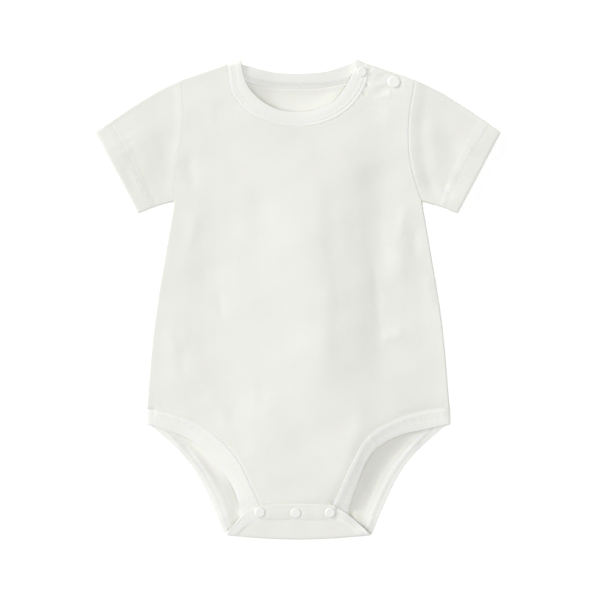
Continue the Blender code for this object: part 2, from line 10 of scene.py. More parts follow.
import bmesh
import bpy
import numpy as np
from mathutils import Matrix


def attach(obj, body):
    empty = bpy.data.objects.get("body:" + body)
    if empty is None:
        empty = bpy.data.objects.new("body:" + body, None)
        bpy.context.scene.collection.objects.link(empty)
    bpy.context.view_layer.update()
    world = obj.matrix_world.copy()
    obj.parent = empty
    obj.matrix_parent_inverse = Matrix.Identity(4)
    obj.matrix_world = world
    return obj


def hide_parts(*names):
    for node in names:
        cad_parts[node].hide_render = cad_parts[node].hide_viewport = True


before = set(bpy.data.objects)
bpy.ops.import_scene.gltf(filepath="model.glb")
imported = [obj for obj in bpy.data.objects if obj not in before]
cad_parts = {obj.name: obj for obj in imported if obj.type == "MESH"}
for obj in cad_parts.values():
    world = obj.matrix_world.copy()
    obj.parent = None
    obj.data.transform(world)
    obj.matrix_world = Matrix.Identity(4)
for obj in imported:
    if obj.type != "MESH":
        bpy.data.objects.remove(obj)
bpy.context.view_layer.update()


# Front panel
# The front of the garment, one piece of soft cotton interlock. It is overlocked to the back at the
# sides and at the closed shoulder, and its neck and leg edges go into the rib bands.

MM = 0.001
WALL = 1.2  # a panel's layer in the model that this scene dresses
CLOTH = 0.8  # the cloth itself
TURN = 5.0  # how far in from the outline the back takes to rise to the side seam
ROLL = 1.1  # how far in the front takes to turn down to it
SETTLE = 30.0  # how far in the front lies lower, as it does beside a seam
SEAM_HEIGHT = 3.3  # side and shoulder seams above the table
SIDE_GAP = 0.1  # between front and back at the outline
FRONT_LAP = 1.6  # how far the front's edge lies inside the outline at the open shoulder
EDGE_SHARE = 0.78  # the share of its relief that the front keeps at the outline
ARMHOLE_DITCH = {"left": 0.11, "right": 0.03}  # depth of the sleeve seams
FINE_STEP = 0.28  # a grid's step at its edges

NECK_POINT = (51, 211.5)
BAND_CROSSING = (63, 207.3)
SHOULDER_TIP = (102.5, 193.7)
SLEEVE_TOP = (SHOULDER_TIP, (123.0, 183.8), (144.0, 171.0), (178.4, 147.6))
SLEEVE_UNDER = ((109, 86.5), (124.8, 82), (140.2, 75.8))
SIDE = ((133.4, -95), (126.4, -19), (116.3, 44), (109, 86.5))
SIDE_CORNER = (133.4, -108)
ARMHOLE = {
    "left": ((109, 86.5), (102.4, 105), (97.8, 126), (96.8, 152), (102.5, 193.7)),
    "right": ((-109, 86.5), (-108.4, 103), (-104, 132), (-101, 158), (-102.5, 193.7)),
}
NECK_SEAM = (
    (-61.6, 202.6), (-57.2, 180.4), (-44, 165.4), (-26, 156.5), (-6, 152.3),
    (17.6, 154), (35.2, 161), (50.2, 173.4), (59.5, 189), (63, 202.3),
)
LEG_SEAM = {
    "left": (
        (28.5, -196), (30, -184), (37, -169), (49.3, -142.6),
        (59.8, -123.2), (79.2, -109.1), (105, -99.6), (133.4, -95),
    ),
    "right": (
        (-32.5, -196), (-33.8, -182), (-42.2, -162.8), (-54.6, -139),
        (-66, -125.8), (-85.6, -111), (-107.4, -101.6), (-133.4, -95),
    ),
}
NECK_STOPS = (0, 0.2, 0.8, 1)  # shoulder, neck, shoulder
NECK_ENDS = (0.215, 0.785)  # where the neck band leaves the front to turn over the shoulders
LEG_STOPS = (0, 0.42, 0.58, 1)  # leg, tab, leg
FRONT_STOPS = (0, 0.63, 1)  # side, armhole

# Height of the upper cloth above the table, a row for each y and a column for each x
HEIGHT_X = (-170, -104, -74, -40, -12, 18, 50, 76, 104, 170)
HEIGHTS = (
    (205, (7.8, 6.8, 7.6, 8.8, 8, 7.4, 7.2, 7.4, 8, 8)),
    (165, (8.2, 6.8, 7.2, 8.2, 7.6, 7.4, 7.2, 7.4, 8.5, 8.2)),
    (120, (8.2, 6.6, 6.4, 7.6, 8.8, 9.2, 8.2, 6.8, 7.4, 8)),
    (60, (7.4, 6.8, 6.1, 7.2, 9.2, 10.6, 8.8, 6.6, 6.4, 8.4)),
    (0, (6.8, 6.6, 6.4, 7.8, 9.6, 10.9, 9, 6.4, 6, 8.4)),
    (-60, (6.8, 6.2, 6.3, 7.8, 9.7, 10.8, 9.2, 7.2, 6, 8)),
    (-105, (5.4, 5.4, 6.3, 8.2, 9.3, 10.2, 9.7, 8.2, 6.2, 6)),
    (-140, (6, 6.2, 6.7, 8, 8.6, 9.2, 9.5, 9, 8, 6)),
    (-165, (5, 6, 6.4, 7.5, 8.1, 8.3, 7.9, 7.8, 7, 5)),
    (-176, (4.6, 5.4, 6, 6.9, 7.8, 7.9, 6.8, 6.4, 5.6, 4.6)),
    (-178.5, (4.6, 5.2, 5.8, 6.5, 7.4, 7.5, 6.5, 6.2, 5.4, 4.6)),
    (-181.5, (4.5, 4.8, 5, 5.3, 5.6, 5.7, 5.4, 5.2, 4.8, 4.5)),
    (-184, (4.4, 4.4, 4.4, 4.5, 4.6, 4.6, 4.6, 4.6, 4.4, 4.4)),
    (-200, (4.4, 4.4, 4.4, 4.4, 4.4, 4.4, 4.4, 4.4, 4.4, 4.4)),
)
# The largest folds: both ends in plan, width, and height, which is below 0 for a trough
FOLDS = (
    (67, 104, 71, -44, 15, -0.9),
    (-76, 96, -74, 30, 16, -0.3),
    (76, -72, 116, -78, 13, -0.8),
    (76, 176, 82, 158, 9, 0.3),
)
# Soft creases: both ends in plan, bow to the left of the run, width and height
CREASES = (
    (-72, 10, -67, -20, 2, 5, -0.3),
    (-114, -22, -104, -50, -2, 5, 0.3),
    (-101, -38, -97, -70, -2, 5.5, -0.35),
    (-33, -70, -31, -98, 1, 4, -0.2),
    (82, 70, 86, 8, 4, 11, 0.9),
    (66, 38, 72, -30, 0, 4, -0.35),
    (112, 22, 119, -8, 1, 5, 0.5),
    (72, -36, 96, -30, 2, 5, 0.45),
    (30, 105, 34, 20, -3, 6, -0.3),
    (24, 30, 22, -70, 2, 7, 0.3),
    (-46, 120, -52, 30, 4, 9, 0.35),
    (-95, 130, -88, 96, -3, 6, -0.5),
    (-92, 78, -98, 40, 2, 5, 0.4),
    (96, 86, 92, 52, -2, 5, 0.5),
    (103, 66, 101, 34, 1, 4.5, -0.45),
    (56, -88, 40, -140, 4, 9, 0.5),
    (-58, -96, -40, -140, -3, 7, -0.35),
    (-84, -84, -60, -104, 2, 6, 0.4),
    (80, 172, 74, 150, 1, 6.5, 0.2),
    (-76, 180, -80, 150, 2, 6, 0.2),
    (6, 148, 10, 118, -1, 7, 0.25),
    (-125, 152, -117, 116, 3, 6, -0.3),
    (-143, 142, -130, 104, 2, 7, 0.25),
    (-152, 120, -142, 92, 0, 5, -0.35),
    (118, 166, 123, 112, -2, 7, 0.45),
    (134, 150, 136, 110, 2, 8, -0.3),
    (150, 140, 146, 104, -2, 8, 0.2),
    (126, 104, 134, 88, 1, 4, -0.5),
    (73, 199, 75.5, 191.5, 0, 6, -0.7),
    (64.5, 189.8, 76, 190.2, -0.5, 1.3, 0.35),
    (73, 187.5, 74.5, 179.5, 0, 6, -0.8),
    (66.5, 178.5, 78, 180, -2, 1.8, 0.25),
    (79.5, 186.5, 81, 178, 0, 1.8, 0.4),
)
# Slow unevenness of the resting cloth: wavelength, direction in degrees, phase and height
SWELLS = (
    (61, 12, 0.4, 0.16), (47, 74, 1.9, 0.12), (83, -38, 4.1, 0.20),
    (34, 31, 2.6, 0.07), (29, -62, 5.2, 0.06), (52, 103, 0.9, 0.11),
)
# Dents where the neck band's open end and the right hip are gathered: place, width and height
PITS = (
    (64.4, 203.5, 1.3, -0.9), (64.6, 197, 1.2, -0.8), (60.9, 189.2, 1.7, -0.8), (58.2, 181.3, 1.6, -0.5),
    (-127, -97, 2.2, -0.8),
)
# Place, radius and height of each snap's cap
SNAPS = {
    "snap_neck": (56.3, 200.2, 4.6, 0.8),
    "snap_shoulder": (84.5, 191.4, 5.7, 0.9),
    "snap_crotch_right": (-33.2, -186.2, 4.8, 0.7),
    "snap_crotch_middle": (-1.8, -187, 4.8, 0.7),
    "snap_crotch_left": (28.4, -186.6, 4.6, 0.7),
}


def hermite(knots, values, at):
    """Smooth curve through values at knots: cubics whose slopes are those of parabolas through neighbours."""
    knots = np.asarray(knots, float)
    values = np.asarray(values, float)
    slopes = np.gradient(values, knots, axis=0)
    i = np.clip(np.searchsorted(knots, at, side="right") - 1, 0, len(knots) - 2)
    span = (knots[i + 1] - knots[i])[:, None]
    t = (at - knots[i])[:, None] / span
    rest = t * (1 - t) ** 2 * span * slopes[i] + t * t * (t - 1) * span * slopes[i + 1]
    return (1 + 2 * t) * (1 - t) ** 2 * values[i] + t * t * (3 - 2 * t) * values[i + 1] + rest


def run_of(points):
    """Distance along a chain of points, from its start to each."""
    return np.append(0, np.cumsum(np.linalg.norm(np.diff(points, axis=0), axis=1)))


def at_run(run, points, distances):
    """Points at these distances along a chain, where run is the distance to each of its own points."""
    return np.stack([np.interp(distances, run, axis) for axis in points.T], axis=1)


def along(points, fractions):
    """Points at these fractions of the length of the smooth curve through a table's points."""
    knots = run_of(np.array(points, float))
    fine = hermite(knots, points, np.linspace(0, knots[-1], 40 * len(points)))
    run = run_of(fine)
    return at_run(run, fine, np.asarray(fractions) * run[-1])


def evenly(points, count):
    """That many points at equal steps along the smooth curve through a table's points."""
    return along(points, np.linspace(0, 1, count))


def border(parts, stops, fractions):
    """A border of several curves end to end, each filling the fractions between two stops."""
    points = np.empty((len(fractions), 2))
    for part, start, end in zip(parts, stops, stops[1:]):
        inside = (fractions >= start) & (fractions <= end)
        points[inside] = along(part, (fractions[inside] - start) / (end - start))
    return points


def graded(length, count, reach=14.0):
    """Fractions whose step grows from the fine one at both ends to five times that at reach from them."""
    t = np.linspace(0, 1, 4001)
    depth = np.clip(np.minimum(t, 1 - t) * length / reach, 0, 1)
    filled = np.append(0, np.cumsum(1 / (FINE_STEP * (1 + 4 * depth[1:]))))
    return np.interp(np.linspace(0, filled[-1], count), filled, t)


def unit(vectors):
    """Each vector at length 1."""
    return vectors / np.linalg.norm(vectors, axis=-1, keepdims=True)


def bell(distance, width):
    """A bell curve of this distance: 1 at its middle, and about a third at width from it."""
    return np.exp(-((distance / width) ** 2))


def sided(points, side):
    """A table for the wearer's left half, or its mirror on the right."""
    return [(x if side == "left" else -x, y) for x, y in points]


def near_line(x, y, line):
    """Distance in plan to a chain of points, and the run along it to the nearest place."""
    best = np.full(np.shape(x), np.inf)
    run = np.zeros(np.shape(x))
    begun = 0.0
    for start, end in zip(line, line[1:]):
        step = end - start
        length = max(np.hypot(*step), 1e-9)
        t = np.clip(((x - start[0]) * step[0] + (y - start[1]) * step[1]) / length**2, 0, 1)
        away = np.hypot(x - start[0] - t * step[0], y - start[1] - t * step[1])
        run = np.where(away < best, begun + t * length, run)
        best = np.minimum(best, away)
        begun += length
    return best, run


def edge_distance(x, y):
    """Distance in plan to the nearest turned edge: shoulder and sleeve top, or sleeve under and side."""
    lines = (
        np.vstack([SIDE_CORNER, evenly(SIDE, 48)]),
        evenly(SLEEVE_UNDER, 48),
        np.vstack([NECK_POINT, evenly(SLEEVE_TOP, 48)]),
    )
    return np.min([near_line(np.abs(x), y, line)[0] for line in lines], axis=0)


def turned(distance, reach):
    """How far the cloth has turned over at this distance from the outline: a quarter oval, 0 to 1."""
    t = np.clip(distance / reach, 0, 1)
    return np.sqrt(1 - (1 - t) ** 2)


def pucker(away, run, pitch, reach, height):
    """Ripples square to a seam: a sine of the run with a wandering pitch, dying away from the seam."""
    turns = run / pitch + 0.35 * np.sin(run / 11.0) + 0.2 * np.sin(run / 4.3 + 1.0)
    strength = 0.6 + 0.4 * np.sin(run / 19.0 + 0.7)
    return height * strength * np.sin(2 * np.pi * turns) * np.exp(-away / reach)


def rise(value, start, end):
    """0 before start, 1 after end, and a smooth cubic step between."""
    t = np.clip((value - start) / (end - start), 0, 1)
    return t * t * (3 - 2 * t)


def between(value, start, full, fading, end):
    """0 outside start and end, 1 from full to fading, and smooth steps in the gaps."""
    return rise(value, start, full) * (1 - rise(value, fading, end))


def armhole_relief(x, y):
    """The sleeve seams: each a ditch with puckers, and a step down to the sleeve, deeper on the left."""
    height = np.zeros(np.shape(x))
    for side, ditch in ARMHOLE_DITCH.items():
        line = evenly(ARMHOLE[side], 60)
        away, run = near_line(x, y, line)
        height += pucker(away, run, 8, 5, 0.07) - ditch * bell(away, 0.9)
        outside = (np.abs(x) > np.interp(y, line[:, 1], np.abs(line[:, 0]))) * rise(y, 84, 110)
        if side == "right":
            height -= (x < 0) * outside * 0.5 * rise(away, -0.5, 9)
            continue
        allowance = 0.04 * between(away, 0.4, 1.6, 2, 5)
        depth = 0.9 + 0.7 * (1 - rise(y, 90, 150)) + 1.4 * (1 - rise(y, 88, 114))
        height += (x > 0) * outside * (allowance - depth * rise(away, 1.5, 14))
    return height


def relief(x, y):
    """The upper cloth away from the outline: the table of heights, then folds, creases, swells and seams.

    A fold is a bell curve across its line. A crease is one too, on a bowed line, and fades at its ends.
    Round a shoulder snap the cloth is pressed down, with five short folds like spokes.
    """
    rows = [row[0] for row in HEIGHTS][::-1]
    table = np.array([row[1] for row in HEIGHTS][::-1])
    by_row = hermite(rows, np.eye(len(rows)), np.clip(np.ravel(y), rows[0], rows[-1]))
    by_column = hermite(HEIGHT_X, np.eye(len(HEIGHT_X)), np.clip(np.ravel(x), HEIGHT_X[0], HEIGHT_X[-1]))
    height = np.einsum("ni,ij,nj->n", by_row, table, by_column).reshape(np.shape(x))
    for ax, ay, bx, by, width, top in FOLDS:
        away = near_line(x, y, np.array([(ax, ay), (bx, by)]))[0]
        height = height + top * bell(away, width)
    for ax, ay, bx, by, bow, width, top in CREASES:
        length = math.hypot(bx - ax, by - ay)
        cx, cy = (bx - ax) / length, (by - ay) / length
        t = ((x - ax) * cx + (y - ay) * cy) / length
        across = (y - ay) * cx - (x - ax) * cy - bow * 4 * np.clip(t, 0, 1) * (1 - np.clip(t, 0, 1))
        fade = bell(np.maximum(np.abs(2 * t - 1) - 0.4, 0), 0.4)
        height = height + top * fade * bell(across, width)
    for pitch, degrees, phase, top in SWELLS:
        turn = math.radians(degrees)
        height = height + top * np.sin(2 * np.pi * (x * math.cos(turn) + y * math.sin(turn)) / pitch + phase)
    for px, py, width, top in PITS:
        height = height + top * bell(np.hypot(x - px, y - py), width)
    for name in ("snap_neck", "snap_shoulder"):
        sx, sy, radius, _ = SNAPS[name]
        away = np.hypot(x - sx, y - sy)
        spokes = 0.16 * np.cos(5 * np.arctan2(y - sy, x - sx) + 0.8) * bell(away - radius, 4)
        height = height + spokes - 0.5 * bell((away / (1.25 * radius)) ** 2, 1)
    return height + armhole_relief(x, y)


def laid(x, y):
    """The upper layer's outer face short of its turn: the relief, sunk a little beside the outline."""
    share = EDGE_SHARE + (1 - EDGE_SHARE) * rise(edge_distance(x, y), 0, SETTLE)
    return SEAM_HEIGHT + (relief(x, y) - SEAM_HEIGHT) * share


def upper(x, y):
    """Height of the upper layer's outer face, turning down to the side seam at the outline."""
    seam = SEAM_HEIGHT + SIDE_GAP / 2
    return seam + (laid(x, y) - seam) * turned(edge_distance(x, y), ROLL)


def patch(bottom, top, left, right, u, v):
    """A grid in plan between four borders: straight from bottom to top, plus what each side bulges.

    The bulge is a side's border less the straight line between its ends, and it fades inwards as the
    fourth power of the distance.
    """
    v = v[:, None, None]
    ruled = (1 - v) * bottom[None] + v * top[None]
    left_bulge = (left - ruled[:, 0])[:, None] * (1 - u[None, :, None]) ** 4
    right_bulge = (right - ruled[:, -1])[:, None] * u[None, :, None] ** 4
    return ruled + left_bulge + right_bulge


def front_bottom(fractions):
    """The front's lower edge in plan: right leg seam, tab edge, left leg seam."""
    right, left = LEG_SEAM["right"][::-1], LEG_SEAM["left"]
    return border((right, (right[-1], left[0]), left), LEG_STOPS, fractions)


def open_shoulder(shares, inset):
    """Points of the open shoulder's line in plan, from the neck band to the tip, set in from it by inset."""
    start = np.array(BAND_CROSSING)
    run = np.array(SHOULDER_TIP) - start
    return start + shares * run + inset * unit(np.array([run[1], -run[0]]))


def front_top(fractions):
    """The front's top edge in plan: closed shoulder, neck seam, open shoulder."""
    lap = np.array((FRONT_LAP, FRONT_LAP, FRONT_LAP, 0.0))[:, None]
    left = open_shoulder(np.array((0.04, 0.25, 0.75, 1.0))[:, None], lap)
    right = sided((SHOULDER_TIP, BAND_CROSSING), "right")
    return border((right, [right[-1], *NECK_SEAM, tuple(left[0])], left), NECK_STOPS, fractions)


def totals(steps, axis):
    """Running totals of a grid's steps along an axis, from 0."""
    start = np.zeros_like(np.take(steps, [0], axis))
    return np.concatenate([start, np.cumsum(steps, axis=axis)], axis=axis)


def cut_plan(grid):
    """Where each point lay on the flat cut: its plan place, stretched by what height adds to each step."""
    middle = grid.shape[1] // 2
    step = np.diff(grid, axis=1)
    u = totals(np.sign(step[..., 0] + 1e-12) * np.hypot(step[..., 0], step[..., 2]), 1)
    u = u - u[:, middle:middle + 1] + grid[:, middle:middle + 1, 0]
    step = np.diff(grid, axis=0)
    v = grid[:1, :, 1] + totals(np.hypot(step[..., 1], step[..., 2]), 0)
    return np.stack([u, v], axis=-1)


def object_of(name, points, faces, material):
    """An object at the origin with a smooth mesh of these points and faces."""
    mesh = bpy.data.meshes.new(name)
    mesh.from_pydata((points.reshape(-1, 3) * MM).tolist(), [], faces)
    mesh.materials.append(material)
    mesh.shade_smooth()
    made = bpy.data.objects.new(name, mesh)
    bpy.context.scene.collection.objects.link(made)
    return made


def corners_of(grid):
    """The four corners of each quad of a grid, in order round it."""
    return np.stack([grid[:-1, :-1], grid[:-1, 1:], grid[1:, 1:], grid[1:, :-1]], axis=2)


def sheet_object(name, grid, uv, material, wall, closed=False):
    """A sheet of quads through a grid of points, thickened inwards where it has a wall.

    closed joins the grid's last column to its first.
    """
    index = np.arange(grid.shape[0] * grid.shape[1]).reshape(grid.shape[:2])
    if closed:
        index = np.column_stack([index, index[:, :1]])
    made = object_of(name, grid, corners_of(index).reshape(-1, 4).tolist(), material)
    layer = made.data.uv_layers.new(name="cut")
    layer.data.foreach_set("uv", (corners_of(uv) * MM).astype(np.float32).ravel())
    if wall:
        solid = made.modifiers.new("Cloth", "SOLIDIFY")
        solid.thickness = wall * MM
        solid.offset = -1
    return made


def feed(tree, node, values):
    """Feeds a node's inputs, by name or number, with sockets or plain values."""
    for key, value in values.items():
        if isinstance(value, bpy.types.NodeSocket):
            tree.links.new(value, node.inputs[key])
        else:
            node.inputs[key].default_value = value


def add_node(tree, kind, values):
    """A new shader node of this kind, with its inputs fed."""
    node = tree.nodes.new("ShaderNode" + kind)
    feed(tree, node, values)
    return node


def math_node(tree, operation, *values):
    """A Math node fed with sockets or plain numbers, and its output."""
    node = tree.nodes.new("ShaderNodeMath")
    node.operation = operation
    feed(tree, node, dict(enumerate(values)))
    return node.outputs[0]


def knit_group():
    """Knitted loops on the flat cut, with inputs for the pitch of wales and courses.

    A wale is half a sine across its pitch. Its loops are a cosine up the course, leaning out from the
    wale's middle as a chevron. Fuzz is fine noise, and Cloud is slow noise for the colour.
    """
    tree = bpy.data.node_groups.new("knit", "ShaderNodeTree")
    for name, kind in (("Vector", "Vector"), ("Wale", "Float"), ("Course", "Float")):
        tree.interface.new_socket(name, in_out="INPUT", socket_type="NodeSocket" + kind)
    for name in ("Height", "Cloud"):
        tree.interface.new_socket(name, in_out="OUTPUT", socket_type="NodeSocketFloat")
    given = tree.nodes.new("NodeGroupInput").outputs
    parts = add_node(tree, "SeparateXYZ", {0: given["Vector"]}).outputs
    wale = math_node(tree, "DIVIDE", parts["X"], given["Wale"])
    course = math_node(tree, "DIVIDE", parts["Y"], given["Course"])
    place = math_node(tree, "FRACT", wale)
    rib = math_node(tree, "SINE", math_node(tree, "MULTIPLY", place, math.pi))
    lean = math_node(tree, "ABSOLUTE", math_node(tree, "SUBTRACT", place, 0.5))
    turns = math_node(tree, "MULTIPLY", math_node(tree, "ADD", course, lean), 2 * math.pi)
    loop = math_node(tree, "MULTIPLY_ADD", math_node(tree, "COSINE", turns), 0.22, 0.78)
    knit = math_node(tree, "MULTIPLY", rib, loop)
    fuzz = add_node(tree, "TexNoise", {"Scale": 2600.0, "Detail": 2.0, "Vector": given["Vector"]})
    cloud = add_node(tree, "TexNoise", {"Scale": 42.0, "Detail": 3.0, "Vector": given["Vector"]})
    height = math_node(tree, "MULTIPLY_ADD", fuzz.outputs[0], 0.35, knit)
    feed(tree, tree.nodes.new("NodeGroupOutput"), {"Height": height, "Cloud": cloud.outputs[0]})
    return tree


def new_material(name, values):
    """A material, its node tree, and its Principled shader with these values."""
    material = bpy.data.materials.new(name)
    material.use_nodes = True
    shader = material.node_tree.nodes["Principled BSDF"]
    feed(material.node_tree, shader, values)
    return material, material.node_tree, shader


def tint_and_bump(tree, shader, share, light, dark, height, strength, depth):
    """Gives a shader a mix of two colours by share, and a bump from height."""
    tint = tree.nodes.new("ShaderNodeMix")
    tint.data_type = "RGBA"
    feed(tree, tint, {"Factor": share, "A": (*light, 1), "B": (*dark, 1)})
    bump = add_node(tree, "Bump", {"Strength": strength, "Distance": depth * MM, "Height": height})
    feed(tree, shader, {"Base Color": tint.outputs["Result"], "Normal": bump.outputs["Normal"]})


knit = knit_group()


def cotton(name, wale, course, depth, through, light, dark):
    """Matt knitted cotton: the knit group's loops as a bump, a faint drift between two off-whites, and
    painted shade, the darker off-white mixed into the loops' low places.

    through is the share of the light that enters the thin cloth and spreads in it.
    """
    material, tree, shader = new_material(name, {
        "Roughness": 0.92,
        "Specular IOR Level": 0.15,
        "Sheen Weight": 0.12,
        "Sheen Roughness": 0.6,
        "Subsurface Weight": through,
        "Subsurface Radius": (1.0, 0.97, 0.8),
        "Subsurface Scale": 0.5 * MM,
    })
    cut = tree.nodes.new("ShaderNodeUVMap")
    cut.uv_map = "cut"
    loops = tree.nodes.new("ShaderNodeGroup")
    loops.node_tree = knit
    feed(tree, loops, {"Vector": cut.outputs["UV"], "Wale": wale * MM, "Course": course * MM})
    drift = math_node(tree, "MULTIPLY_ADD", loops.outputs["Cloud"], 1.6, -0.3)
    # painted shade: where the knit's loops are low, the share moves towards the darker off-white, as shade in
    # their grooves
    deep = math_node(tree, "MULTIPLY_ADD", loops.outputs["Height"], -0.35, 0.3)
    share = add_node(tree, "Clamp", {"Value": math_node(tree, "ADD", drift, deep)})
    tint_and_bump(tree, shader, share.outputs[0], light, dark, loops.outputs["Height"], 0.5, depth)
    return material


# painted shade: this cloth's darker off-white also darkens its knit's low places, through cotton()
interlock = cotton("interlock_cotton", 0.95, 0.8, 0.1, 0.45, (0.877, 0.88, 0.834), (0.861, 0.866, 0.814))


def dress(piece, node):
    """Puts a piece on the garment in place of its plain solid."""
    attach(piece, "root")
    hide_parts(node)


def seam_lines():
    """The front's edges that go into a band or roll under: neck seam, leg seams and open shoulder."""
    neck = front_top(np.linspace(*NECK_ENDS, 120))
    shoulder = front_top(np.linspace(NECK_STOPS[2], 1.0, 20))
    legs = [evenly(LEG_SEAM[side], 90) for side in ("left", "right")]
    return neck, shoulder, legs


def front_panel():
    """The front on a grid graded to its edges, with a ditch and puckers where it meets each band."""
    u, v = graded(240, 176), graded(345, 205)
    right, left = (border((sided(SIDE, side), ARMHOLE[side]), FRONT_STOPS, v) for side in ("right", "left"))
    x, y = np.moveaxis(patch(front_bottom(u), front_top(u), right, left, u, v), -1, 0)
    z = upper(x, y)
    neck, shoulder, legs = seam_lines()
    right_dip = 0.6 - 0.5 * rise(-x, 80, 106)
    ditches = ((neck, 7.0, 0.05, 1.2), (legs[0], 8.0, 0.5, 4.5), (legs[1], 8.0, right_dip, 1.1))
    for line, pitch, dip, width in ditches:
        away, run = near_line(x, y, line)
        z = z - dip * bell(away, width) + pucker(away, run, pitch, 5, 0.08)
    z = z - 0.6 * bell(near_line(x, y, shoulder)[0], 0.8)
    grid = np.dstack([x, y, z])
    made = sheet_object("front_cloth", grid, cut_plan(grid), interlock, CLOTH)
    dress(made, "front_panel")
    return made


front_cloth = front_panel()


# Back panel
# The back, one piece of the same interlock, longer than the front. At the crotch it turns up over
# a soft fold and lies on the front as a flap, which the placket and snaps hold.

BACK_NECK_SEAM = ((-61.6, 202.6), (-46, 192.5), (-24, 187.4), (0, 186.2))
BACK_LEG_SEAM = ((133.4, -95), (104.7, -120.5), (81.5, -148.5), (68, -174), (57.4, -203))
FOLD_Y = -210.4  # the fold's lowest point, at the middle
FOLD_BOW = 4.0  # how much higher the fold ends, at the leg edges
FOLD_HALF = 64.0  # half of its length
FOLD_RADIUS = 3.5
FLAP_TOP_Y = -179.0  # the flap's upper edge
FLAP_SEAM = {
    "left": ((28.4, -193), (38, -194.5), (45, -199), (52.6, -205.6)),
    "right": ((-31.4, -193.3), (-38, -194.5), (-46, -198.5), (-54.4, -205.6)),
}
BACK_STOPS = (0, 0.03, 0.1, 0.14, 0.42, 0.78, 1)  # flap side and seam, fold, leg seam, side, armhole
BACK_MIDDLE = (0, 0.028, 0.0646, 0.09, 0.349, 0.769, 1)  # the same rows down the back's middle
# The free edges of the neck band and leg bindings, which the back meets inside the openings
NECK_EDGE = (
    (-49.6, 206.7), (-48, 198), (-44, 187.4), (-34, 176.2), (-18, 167.8), (0, 165.2),
    (17.6, 167.2), (30.8, 173.4), (39.6, 183), (46, 194), (51.8, 205.2),
)
LEG_EDGE = {
    "left": (
        (43.6, -196), (44.4, -184), (52, -162.8), (62, -139),
        (72, -127), (90, -118.6), (112, -113.2), (128.6, -109.6),
    ),
    "right": (
        (-50, -196), (-51.5, -180), (-60.3, -159), (-74.5, -143),
        (-86.5, -129), (-104, -118.6), (-116.2, -114.6), (-128.6, -109.6),
    ),
}
FLAP_EDGE = {
    "left": ((28.4, -180), (35.5, -182.6), (43, -187.4), (53, -196.4), (61.5, -203.6)),
    "right": ((-31.4, -179.3), (-39, -181.2), (-47, -186.3), (-55, -196.5), (-61.5, -203.6)),
}
BACK_COUNTS = (8, 20, 18, 56, 52, 46)  # rows of the grid between those stops
NECK_HUMP = 4.0  # how far the back stands off the table beside the closed shoulder


def neck_lift(x, y):
    """How far the back stands off the table in the neck: by the closed shoulder, and at the front's edge."""
    hump = between(-x, 18, 54, 62, 92) * rise(y, 130, 175)
    hump = NECK_HUMP * hump * (1 - 0.55 * rise(y, 198, 207))
    edge = evenly(NECK_EDGE, 60)
    inside = y > np.interp(x, edge[:, 0], edge[:, 1])
    away = near_line(x, y, edge)[0] * np.where(inside, 1, -1)
    return hump + 1.2 * between(away, -24, -8, -1, 12) * between(x, -34, -8, 26, 42)


def leg_lift(x, y):
    """How far it stands off inside the leg holes: at the front's edge, the flap's edge and the binding."""
    height = np.zeros(np.shape(x))
    for side, sign in (("left", 1), ("right", -1)):
        edge = np.abs(evenly(LEG_EDGE[side], 50)) * (1, -1)
        outside = np.abs(x) > np.interp(y, edge[:, 1], edge[:, 0])
        away = near_line(np.abs(x), y, edge)[0] * np.where(outside, 1, -1)
        if side == "left":
            hump = 3.2 * between(away, -30, -8, -3, 16) * rise(y, -192, -168)
            hump = hump * (1 - 0.4 * rise(y, -128, -112))
            flap = near_line(np.abs(x), y, np.array(FLAP_EDGE["left"]))[0]
            at_flap = rise(np.abs(x), 45, 51) * rise(y, -203, -194)
            hump = np.maximum(hump, 2.3 * bell(flap, 6) * at_flap)
        else:
            hump = 2.1 * between(away, -3, 9, 10, 23) * between(y, -201, -186, -142, -122)
            under_edge = 1.6 * between(away, -26, -8, -1, 8) * rise(y, -168, -150)
            hump = hump + under_edge * (1 - 0.6 * rise(y, -140, -118))
        height = height + hump * (x * sign > 0)
    return height


def lower(x, y):
    """Height of the lower layer's outer face: flat on the table, rising to the side seam at the outline."""
    share = turned(edge_distance(x, y), TURN)
    return (SEAM_HEIGHT - SIDE_GAP / 2) * (1 - share) + (neck_lift(x, y) + leg_lift(x, y)) * share


def fold_start(x):
    """Where the back panel starts to turn up, in y, at each x."""
    return FOLD_Y + FOLD_BOW * np.minimum(np.abs(x) / FOLD_HALF, 1) ** 2 + FOLD_RADIUS


def unfolded(points):
    """A flap's points as they would lie if the back panel were laid out straight, past its fold."""
    x, y = np.array(points, float).T
    return np.column_stack([x, 2 * fold_start(x) - math.pi * FOLD_RADIUS - y])


def folded_up(x, s, lift):
    """A point of the unfolded back panel in its real place, lift above the panel's outer face.

    Past the fold's start it goes round half a circle squared off by a power of 0.5, and then lies
    upside down on the front.
    """
    start = fold_start(x)
    turn = np.clip((start - s) / FOLD_RADIUS, 0, math.pi)
    past = np.maximum(start - s - math.pi * FOLD_RADIUS, 0)
    out, down = np.sqrt(np.sin(turn)), np.sign(np.cos(turn)) * np.sqrt(np.abs(np.cos(turn)))
    y = np.maximum(s, start) - (FOLD_RADIUS - lift) * out + past
    z = FOLD_RADIUS - (FOLD_RADIUS - lift) * down
    return np.stack([x, y, z], axis=-1)


def back_border(side, fractions):
    """The back's side edge, unfolded: flap side, flap seam, fold, leg seam, side and armhole."""
    x = FLAP_SEAM[side][0][0]
    flap_side = unfolded([(x, FLAP_TOP_Y), (x, FLAP_SEAM[side][0][1])])
    flap_seam = np.vstack([flap_side[-1:], unfolded(FLAP_SEAM[side][1:])])
    leg_seam = sided(BACK_LEG_SEAM[::-1], side)
    fold = (flap_seam[-1], leg_seam[0])
    parts = (flap_side, flap_seam, fold, leg_seam, sided(SIDE, side), ARMHOLE[side])
    return border(parts, BACK_STOPS, fractions)


